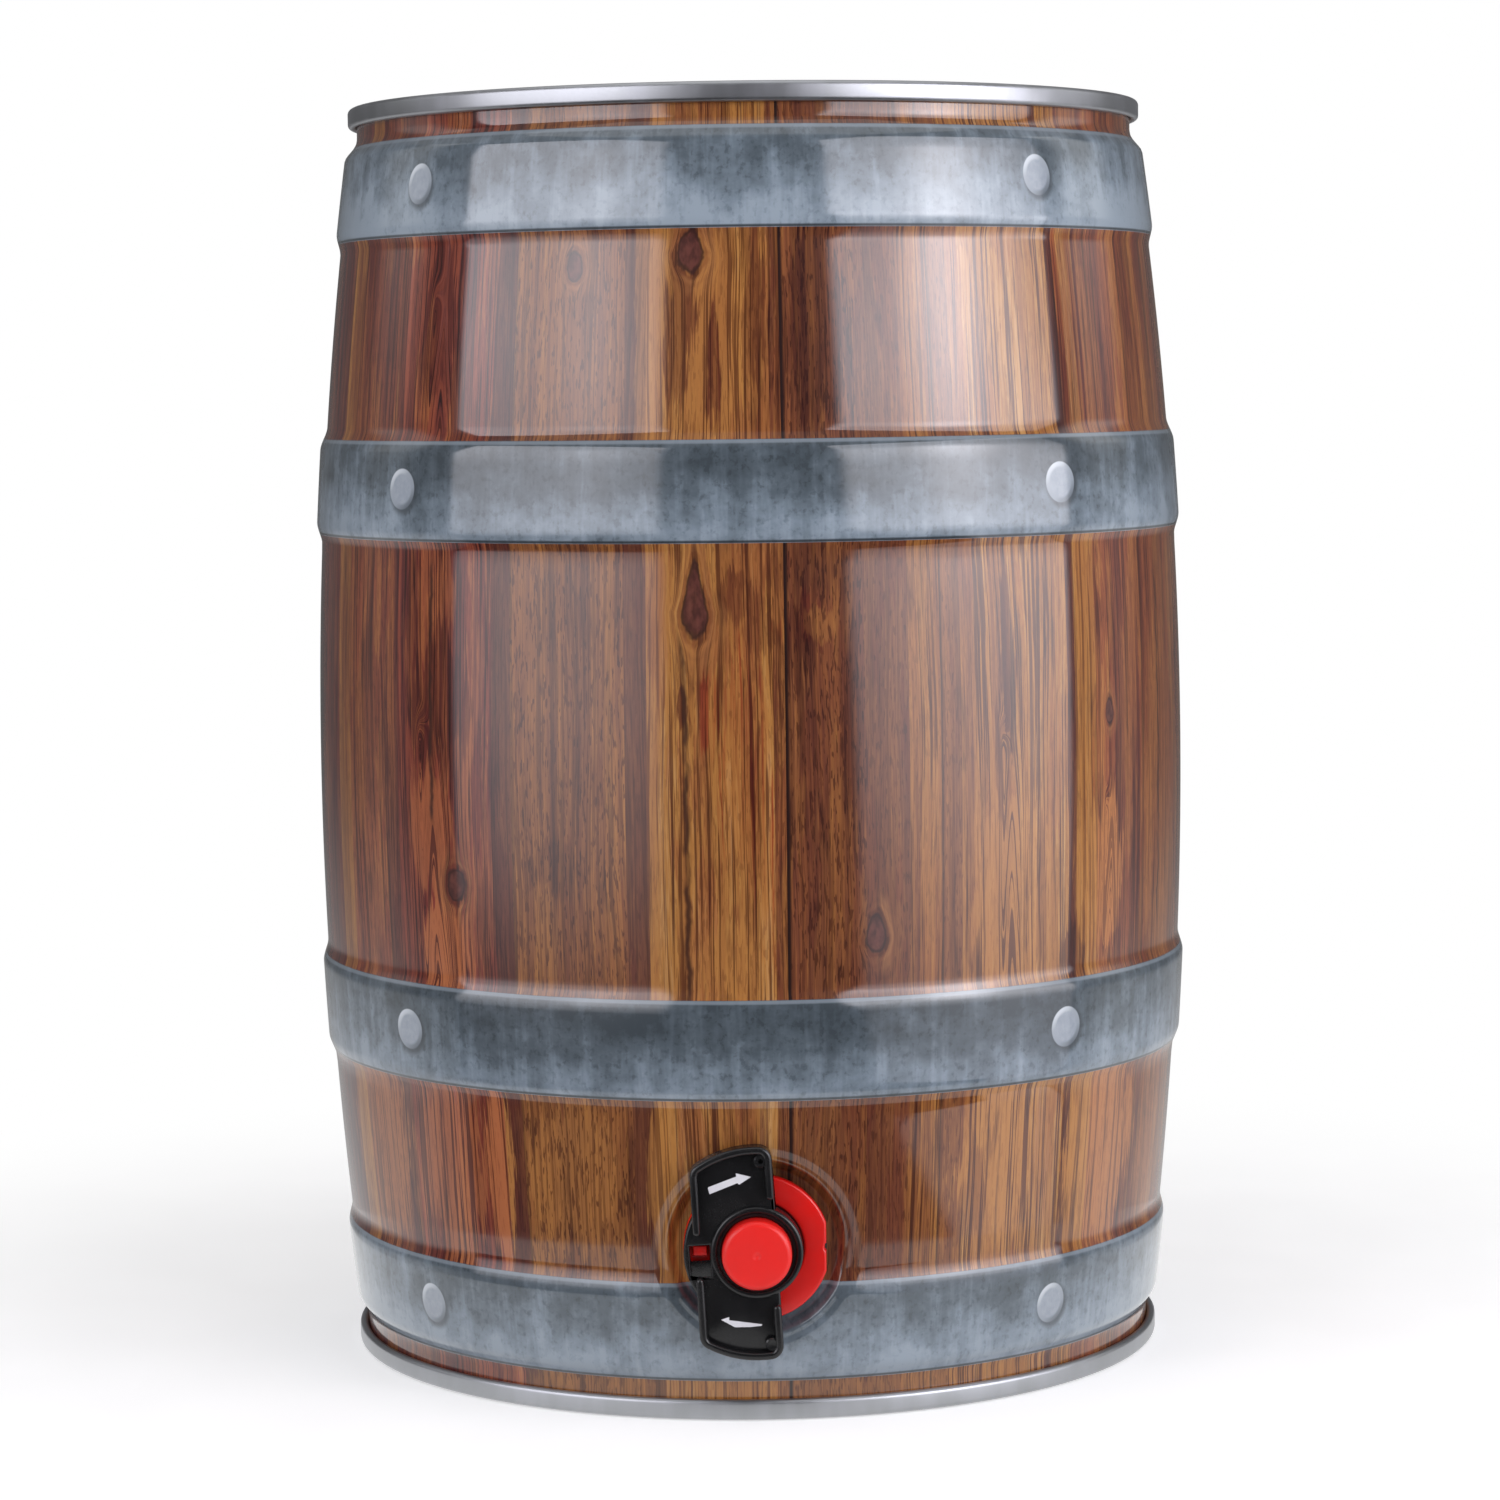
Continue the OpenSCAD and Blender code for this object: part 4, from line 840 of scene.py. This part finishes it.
def tapHandle():
    size = SimpleNamespace(**tapSizes)
    bm = bmesh.new()
    up = wingEnd(0.0)
    down = [(x, -y) for x, y in up[::-1]]
    meet = math.degrees(math.acos(size.wingLeft / size.discRadius))
    outline = up + arc(0, 0, size.discRadius, 180 - meet, 180 + meet, 24) + down
    x0, x1, y0, y1 = size.windowX, size.windowX + size.windowWide, size.windowLow, size.windowHigh
    window = [(x0, y0), (x0, y1), (x1, y1), (x1, y0)]
    slab(bm, [outline, window, circle(size.handleHole, 64)[::-1]], size.wingBack, size.plateFace, size.plateEdge,
         onHandle)
    skirt = arc(0, 0, size.discRadius, 92, 268, 64) + arc(0, 0, size.discRadius - size.skirt, 268, 92, 64)
    slab(bm, [skirt], size.discBack, size.wingBack + 0.3, 0.1, onHandle, 2)

    # the sloping floor in the window's lower part
    fall = size.slopeRun * math.tan(math.radians(size.windowSlope))
    upperEdge = size.plateFace - size.slopeStart
    flank = ((y0 - 0.1, upperEdge), (y0 - 0.1, size.wingBack - 1.2), (y0 + size.slopeRun, upperEdge - fall))
    wedge = [bm.verts.new(onHandle(x, y, out)) for x in (x0 - 0.1, x1 + 0.1) for y, out in flank]
    sides = ((0, 1, 2), (5, 4, 3), (0, 2, 5, 3), (2, 1, 4, 5), (1, 0, 3, 4))
    faces = [bm.faces.new([wedge[i] for i in corners]) for corners in sides]
    bmesh.ops.recalc_face_normals(bm, faces=faces)

    rim = wingRim()
    for loop in (rim, [(x, -y) for x, y in rim[::-1]]):
        slab(bm, [loop], size.wingBack + 0.1, size.rimFace, size.rimEdge, onHandle, 6)
    bx = size.wingRight - size.rimWidth - size.bossRadius / 2
    by = math.sqrt((size.wingRadius - size.rimWidth - size.bossRadius) ** 2 - bx ** 2)
    r, top, low = size.bossRadius, size.rimFace - 0.35, size.plateFace - 0.6
    for side, pit in ((1, size.bossHole), (-1, 0.0)):
        dish = [(pit, top), (pit, top - 0.9), (0, top - 0.9)] if pit else [(0.7, top), (0, top - 0.12)]
        profile = [(0, low), (r, low), (r, top - 0.25), (r - 0.25, top)] + dish
        turned(bm, profile, lambda x, y, out: onHandle(x + bx, y + side * by, out), 24)

    # hub and sleeve: rounded shoulder, then a step down towards the button
    e, face = size.hubEdge, size.hubFace
    profile = [(size.hubRadius, size.sleeveBack)] + arc(size.hubRadius - e, face - e, e, 0, 90, 6)
    profile += [(r, face - depth) for r, depth in size.hubSteps]
    profile += [(size.guideRadius, face - 0.8), (size.guideRadius, size.guideBack)]
    profile += [(size.sleeveBore, size.guideBack), (size.sleeveBore, size.sleeveBack)]
    turned(bm, profile, onTap)
    return meshObject("tapHandle", bm, blackPlastic, 34)


def spoutButton():
    size = SimpleNamespace(**tapSizes)
    e, face, r = size.buttonEdge, size.buttonFace, size.buttonRadius
    profile = [(radius, face - depth) for radius, depth in size.dimple]
    profile += arc(r - e, face - size.buttonDrop - e, e, 90, 0, 8)
    profile += [(r, size.stopTo), (size.stopRadius, size.stopTo), (size.stopRadius, size.stopFrom),
                (r, size.stopFrom)]
    profile += [(r, size.spoutBack + 0.3), (r - 0.3, size.spoutBack)]
    profile += [(size.spoutBore, size.spoutBack), (size.spoutBore, face - size.frontWall), (0, face - size.frontWall)]
    bm = bmesh.new()
    turned(bm, profile, onTap)
    piece = meshObject("spoutButton", bm, redPlastic, 32)

    # the outlet is drilled from above, into the bore only
    bm = bmesh.new()
    low, high, radius = size.drillFrom, size.drillTo, size.outletRadius

    def fromAbove(x, y, level):
        return onTap(x, level, size.outletAt + y)

    turned(bm, [(0, low), (radius, low), (radius, high), (0, high)], fromAbove, 48)
    drill = meshObject("drill", bm, redPlastic)
    addModifier(piece, "outlet", "BOOLEAN", operation="DIFFERENCE", solver="EXACT", object=drill)
    addModifier(piece, "edges", "BEVEL", width=0.25 * mm, segments=2, limit_method="ANGLE",
                angle_limit=math.radians(40))
    plainMesh(piece).data.set_sharp_from_angle(angle=math.radians(32))
    bpy.data.objects.remove(drill)
    return piece


housing = tapHousing()
dress(housing, "keg", "red_plastic", "tap_housing")
handle = tapHandle()
dress(handle, "handle", "black_plastic", "valve_handle")
spout = spoutButton()
dress(spout, "spout", "red_plastic", "spout")

# two painted arrows on the wings, across and up from the tap's axis with the tilt already in them
arrowMarks = dict(
    upper=((-8.8, 11.9), (-8.5, 10.8), (-8.0, 11.0), (-3.4, 12.8), (-3.1, 12.5), (-0.9, 13.9), (-3.7, 14.6),
           (-3.6, 14.0), (-8.7, 12.1)),
    lower=((-6.7, -12.4), (-4.2, -13.8), (-1.3, -13.8), (0.7, -13.6), (0.8, -13.3), (-5.2, -12.5), (-5.2, -11.9)),
    thickness=0.04,
)
for name in ("upper", "lower"):
    loop = list(arrowMarks[name])
    area = sum(a[0] * b[1] - a[1] * b[0] for a, b in zip(loop, loop[1:] + loop[:1]))
    bm = bmesh.new()
    face = tapSizes["plateFace"]
    slab(bm, [loop if area > 0 else loop[::-1]], face - 0.05, face + arrowMarks["thickness"], 0.01, onTap, 1)
    dress(meshObject(name + "Arrow", bm, whiteInk, 20), "handle", "white_plastic")
print("tap made")

# bung in the top: rubber grommet and a vent plug with a finger bar, distances down from the rim
bungSizes = dict(flangeRadius=20.5, flangeTop=6.31, flangeFoot=8.3, neckRadius=17.45, lipRadius=18.9, lipTop=8.71,
                 foot=14.69, footRadius=16.05, bore=9.07,
                 headRadius=12.5, headTop=3.8, headFoot=6.0, stemRadius=9.0, barTop=1.81, barWide=5.0, barLong=21.0,
                 stemFoot=16.2, beadRadius=9.5, beadTop=15.0, channel=3.0, channelTop=10.5,
                 ribCount=5, ribStep=3.0, ribHalf=0.5, ribInset=0.7)


def bungGrommet():
    size = SimpleNamespace(**bungSizes)
    bm = bmesh.new()
    r, top = size.flangeRadius, size.flangeTop
    profile = [(size.bore, top + 0.3), (size.bore + 0.3, top), (r - 2.6, top), (r - 2.2, top + 0.12), (r - 1.9, top),
               (r - 0.7, top)]
    profile += arc(r - 0.7, top + 0.7, 0.7, -90, 0, 6)[1:]
    profile += [(r, size.flangeFoot), (size.neckRadius, size.flangeFoot), (size.neckRadius, size.lipTop),
                (size.lipRadius, size.lipTop), (size.footRadius, size.foot), (size.bore, size.foot)]
    turned(bm, profile, fromRim)
    return meshObject("bungGrommet", bm, rubber, 34)


def ventPlug():
    size = SimpleNamespace(**bungSizes)
    bm = bmesh.new()
    r, top = size.headRadius, size.headTop
    profile = [(0, top + 0.15), (r - 2.4, top + 0.15), (r - 2.1, top), (r - 0.8, top)]
    profile += arc(r - 0.8, top + 0.8, 0.8, -90, 0, 6)[1:]
    profile += [(r, size.headFoot - 0.2), (r - 0.2, size.headFoot), (size.stemRadius, size.headFoot),
                (size.stemRadius, size.beadTop), (size.beadRadius, size.beadTop), (size.stemRadius, size.stemFoot),
                (size.channel, size.stemFoot), (size.channel, size.channelTop), (0, size.channelTop)]
    turned(bm, profile, fromRim)
    wide, long = size.barWide / 2, size.barLong / 2
    bar = []
    for k, (x, y) in enumerate(((1, 1), (-1, 1), (-1, -1), (1, -1))):
        bar += arc(x * (long - 1), y * (wide - 1), 1, 90 * k, 90 * k + 90, 5)
    slab(bm, [bar], -5.0, -size.barTop, 0.6, aboveRim, 5)
    for k in range(size.ribCount):
        rib = box((k - (size.ribCount - 1) / 2) * size.ribStep, size.ribHalf, wide - size.ribInset)
        slab(bm, [rib], -4.0, -size.barTop + 0.01, 0.05, aboveRim, 1)
    return meshObject("ventPlug", bm, redPlastic, 34)


grommet = bungGrommet()
dress(grommet, "keg", "rubber", "bung_grommet")
plug = ventPlug()
dress(plug, "vent", "red_plastic", "vent_core")
print("bung made")

# the seals inside keep their CAD shapes and get their finishes
rubberSeals = ("top_seam_compound", "bottom_seam_compound", "vent_seal", "wall_gasket", "port_seal",
               "sleeve_front_seal", "sleeve_rear_seal", "spout_seal", "spout_wiper")
for name in (*rubberSeals, "sleeve_plug"):
    nodes[name].data.materials.clear()
    nodes[name].data.materials.append(rubber if name in rubberSeals else whitePlastic)
print("seals finished")

# camera: fitted to the rings and the outline in the photograph
view = dict(lens=4220.3 / 1500 * 36, distance=845.02, height=191.17, pitch=4.211, roll=-0.708, shiftY=-0.04)
camera = bpy.data.objects.new("camera", bpy.data.cameras.new("camera"))
scene.collection.objects.link(camera)
camera.data.sensor_width = 36
camera.data.lens = view["lens"]
camera.data.shift_y = view["shiftY"]
camera.data.clip_start = 0.01
stand = Matrix.Translation((0, -view["distance"] * mm, view["height"] * mm))
pitch = Matrix.Rotation(math.radians(90 - view["pitch"]), 4, "X")
camera.matrix_world = stand @ pitch @ Matrix.Rotation(math.radians(view["roll"]), 4, "Z")
scene.camera = camera

# studio: two soft panels beside the keg, one above, a dark room behind the camera and a pale floor
studio = dict(leftFrom=-20.5, leftTo=-81.5, rightFrom=21.5, rightTo=90, panelDistance=1.05, panelLow=-0.55,
              panelHigh=0.75, panelTint=(0.99, 0.975, 1.035),
              leftLevels=((-0.15, 0.1), (-0.04, 0.85), (0.07, 1.5), (0.18, 1.9), (0.34, 2.7)),
              rightLevels=((-0.40, 1.3), (-0.13, 1.1), (0.01, 1.95), (0.18, 3.2), (0.37, 4.2), (0.54, 3.0)),
              leftHot=1.0, rightHot=4.0, hotReach=0.26, upperBand=(0.2, 0.36), leanLevel=0.45,
              stepBand=(-0.34, -0.14), innerEdge=(-0.02, 0.07), outerReach=0.5, outerEdge=0.05,
              topPower=0.7, topSize=1.6, topLevel=1.45, ambient=0.36, roomRadius=1.8, roomLow=-1.4, roomHigh=1.5,
              roomFaces=64,
              ceilingPower=0.26, tablePower=0.55, sidePower=0.14, rightSideMore=0.12, sideBand=(1.45, 1.7),
              sideRise=4.0, frontPower=0.03, backPower=0.11,
              shadowReach=0.13, whiteFrom=0.30, shadowLift=0.32, floorHalf=6.0, nearRadius=0.16, nearPower=0.85)


def emitter(name):
    material = bpy.data.materials.new(name)
    material.use_nodes = True
    tree = material.node_tree
    tree.nodes.clear()
    spot = Signal(addNode(tree, "ShaderNodeTexCoord").outputs["Object"])
    light = addNode(tree, "ShaderNodeEmission")
    feed(addNode(tree, "ShaderNodeOutputMaterial").inputs["Surface"], light.outputs[0])
    return material, light, spot


def seenDirectly(tree):
    path = addNode(tree, "ShaderNodeLightPath").outputs
    camera, gloss, through = [Signal(path["Is %s Ray" % name]) for name in ("Camera", "Glossy", "Transmission")]
    return calc("ADD", camera + gloss, through, clamp=True)


def stagePlate(name, corners, material, *hiddenFrom):
    mesh = bpy.data.meshes.new(name)
    mesh.from_pydata(corners, [], [tuple(range(len(corners)))])
    mesh.materials.append(material)
    plate = bpy.data.objects.new(name, mesh)
    scene.collection.objects.link(plate)
    for flag in hiddenFrom:
        setattr(plate, "visible_" + flag, False)
    return plate


def panel(name, start, end, levels, dim, rise, hotTurn, hotLevel, hotPower, slant, step, outer):
    # power follows the rows of (level, power), with a hot spot and a dimmer, slanting inner edge;
    # dim and outer are the shares of light left at the two ends, and only the side towards the keg is lit
    far = studio["panelDistance"]
    a, b = [Vector((far * math.sin(math.radians(t)), -far * math.cos(math.radians(t)), 0)) for t in (start, end)]
    foot, head = Vector((0, 0, studio["panelLow"])), Vector((0, 0, studio["panelHigh"]))
    hot = a.lerp(b, (hotTurn - start) / (end - start)) + Vector((0, 0, hotLevel))
    material, light, spot = emitter(name)
    tree, axes = spot.tree, splitAxes(spot)
    gap = addNode(tree, "ShaderNodeVectorMath", operation="DISTANCE")
    feed(gap.inputs[0], spot)
    gap.inputs[1].default_value = hot
    light.inputs["Color"].default_value = (*studio["panelTint"], 1.0)
    peak, tall = max(power for _, power in levels), studio["panelHigh"] - studio["panelLow"]
    stops = [((at - studio["panelLow"]) / tall, (power / peak,) * 3) for at, power in levels]
    level = ramp((axes[2] - studio["panelLow"]) / tall, stops, "CARDINAL") * peak
    level = level + ease(Signal(gap.outputs["Value"]), 0.0, studio["hotReach"], hotPower, 0.0)
    inner = addNode(tree, "ShaderNodeVectorMath", operation="DOT_PRODUCT")
    feed(inner.inputs[0], spot)
    inner.inputs[1].default_value = (b - a).normalized()
    along = Signal(inner.outputs["Value"]) - a.dot((b - a).normalized())
    width = (b - a).length
    upper = studio["upperBand"]
    lean = along + (axes[2] - studio["leanLevel"]) * slant + ease(axes[2], *studio["stepBand"], -step, 0.0)
    level = level * ease(along, 0.0, rise, ease(axes[2], *upper, dim, 0.9), 1.0)
    fade = ease(along, width - studio["outerReach"], width, 1.0, ease(axes[2], *upper, *outer))
    end = ease(along, width - studio["outerEdge"], width, 1.0, 0.0)
    level = level * (ease(lean, *studio["innerEdge"]) * (fade * end))
    facing = 1.0 - Signal(addNode(tree, "ShaderNodeNewGeometry").outputs["Backfacing"])
    feed(light.inputs["Strength"], level * facing)
    corners = [a + foot, b + foot, b + head, a + head]
    towardsKeg = (b - a).cross(head - foot).dot(-a) > 0
    stagePlate(name, corners if towardsKeg else corners[::-1], material, "camera", "shadow")


panel("leftPanel", studio["leftFrom"], studio["leftTo"], studio["leftLevels"], dim=0.72, rise=0.45,
      hotTurn=-41, hotLevel=0.40, hotPower=studio["leftHot"], slant=0.02, step=0.12, outer=(0.78, 1.1))
panel("rightPanel", studio["rightFrom"], studio["rightTo"], studio["rightLevels"], dim=0.55, rise=0.75,
      hotTurn=54, hotLevel=0.38, hotPower=studio["rightHot"], slant=0.18, step=0.56, outer=(0.88, 0.36))

sky = bpy.data.objects.new("topPanel", bpy.data.lights.new("topPanel", "AREA"))
scene.collection.objects.link(sky)
sky.data.shape = "RECTANGLE"
sky.data.size, sky.data.size_y = studio["topSize"], studio["topSize"]
sky.data.energy = studio["topPower"] * studio["topSize"] * studio["topSize"] * math.pi
sky.location = (0, -0.1, studio["topLevel"])

# the room is only there for the gloss to reflect: dark in front, paler behind the keg
material, light, spot = emitter("darkRoom")
axes = splitAxes(spot)
material.cycles.emission_sampling = "NONE"  # seen by gloss only, so no light is sought from it
ceiling = ease(axes[2], 1.3, studio["roomHigh"], 0.0, studio["ceilingPower"])
table = ease(axes[1], -0.6, 0.3) * ease(axes[2], -0.5, 0.0, studio["tablePower"], 0.0)
band = studio["sideBand"]
sides = ease(abs(axes[0]), *band, 0.0, studio["sidePower"]) + ease(axes[0], *band, 0.0, studio["rightSideMore"])
sides = sides * ease(axes[2], 0.2, 0.6, 1.0, studio["sideRise"]) * ease(axes[1], 0.1, 0.45)
walls = ease(axes[1], -0.4, 1.2, studio["frontPower"], studio["backPower"])
feed(light.inputs["Strength"], ceiling + table + sides + walls)
bm = bmesh.new()
ring = circle(studio["roomRadius"], studio["roomFaces"])
ends = (studio["roomLow"], studio["roomHigh"])
wallLow, wallHigh = [[bm.verts.new((x, y, level)) for x, y in ring] for level in ends]
for k in range(len(ring)):
    bm.faces.new((wallLow[k - 1], wallLow[k], wallHigh[k], wallHigh[k - 1]))
bm.faces.new(wallLow)
bm.faces.new(wallHigh)
room = meshObject("darkRoom", bm, material)
for flag in ("camera", "diffuse", "shadow", "transmission"):
    setattr(room, "visible_" + flag, False)

# pale floor: takes the shadow near the keg and runs out into white
floorPaint, base, spot = newMaterial("paleFloor")
tree = spot.tree
floorPaint.cycles.emission_sampling = "NONE"
mottle = ease(noise(spot, 40.0, 3.0), 0.3, 0.7)
feed(base.inputs["Base Color"], mixColor(mottle, (0.82, 0.82, 0.82), (0.85, 0.85, 0.85)))
base.inputs["Roughness"].default_value = 0.9
base.inputs["Specular IOR Level"].default_value = 0.1
seen = seenDirectly(tree)
reach = addNode(tree, "ShaderNodeVectorMath", operation="LENGTH")
feed(reach.inputs[0], spot)
white = addNode(tree, "ShaderNodeEmission")
lift = addNode(tree, "ShaderNodeEmission")
lift.inputs["Strength"].default_value = studio["shadowLift"]
shadowed = addNode(tree, "ShaderNodeAddShader")
feed(shadowed.inputs[0], base.outputs[0])
feed(shadowed.inputs[1], lift.outputs[0])
outward = addNode(tree, "ShaderNodeMixShader")
feed(outward.inputs[0], ease(Signal(reach.outputs["Value"]), studio["shadowReach"], studio["whiteFrom"]))
feed(outward.inputs[1], shadowed.outputs[0])
feed(outward.inputs[2], white.outputs[0])
either = addNode(tree, "ShaderNodeMixShader")
feed(either.inputs[0], seen)
feed(either.inputs[1], base.outputs[0])
feed(either.inputs[2], outward.outputs[0])
feed(tree.nodes["Material Output"].inputs["Surface"], either.outputs[0])
side = studio["floorHalf"]
corners = [(x, y, -0.2 * mm) for x, y in ((-side, -side), (side, -side), (side, side), (-side, side))]
stagePlate("floor", corners, floorPaint, "glossy")
nearRing = [(x, y, -0.3 * mm) for x, y in circle(studio["nearRadius"], 48)]
material, light = emitter("nearFloor")[:2]
material.cycles.emission_sampling = "NONE"
light.inputs["Strength"].default_value = studio["nearPower"]
# the part of the floor that the base rim reflects
stagePlate("nearFloor", nearRing, material, "camera", "diffuse", "shadow", "transmission")

world = bpy.data.worlds.new("studio")
scene.world = world
world.use_nodes = True
tree = world.node_tree
seen = seenDirectly(tree)
backdrop = tree.nodes["Background"]
backdrop.inputs["Color"].default_value = (1, 1, 1, 1)
feed(backdrop.inputs["Strength"], ease(seen, 0.0, 1.0, studio["ambient"], 1.0))
scene.view_settings.view_transform = "Standard"
print("camera and studio set")
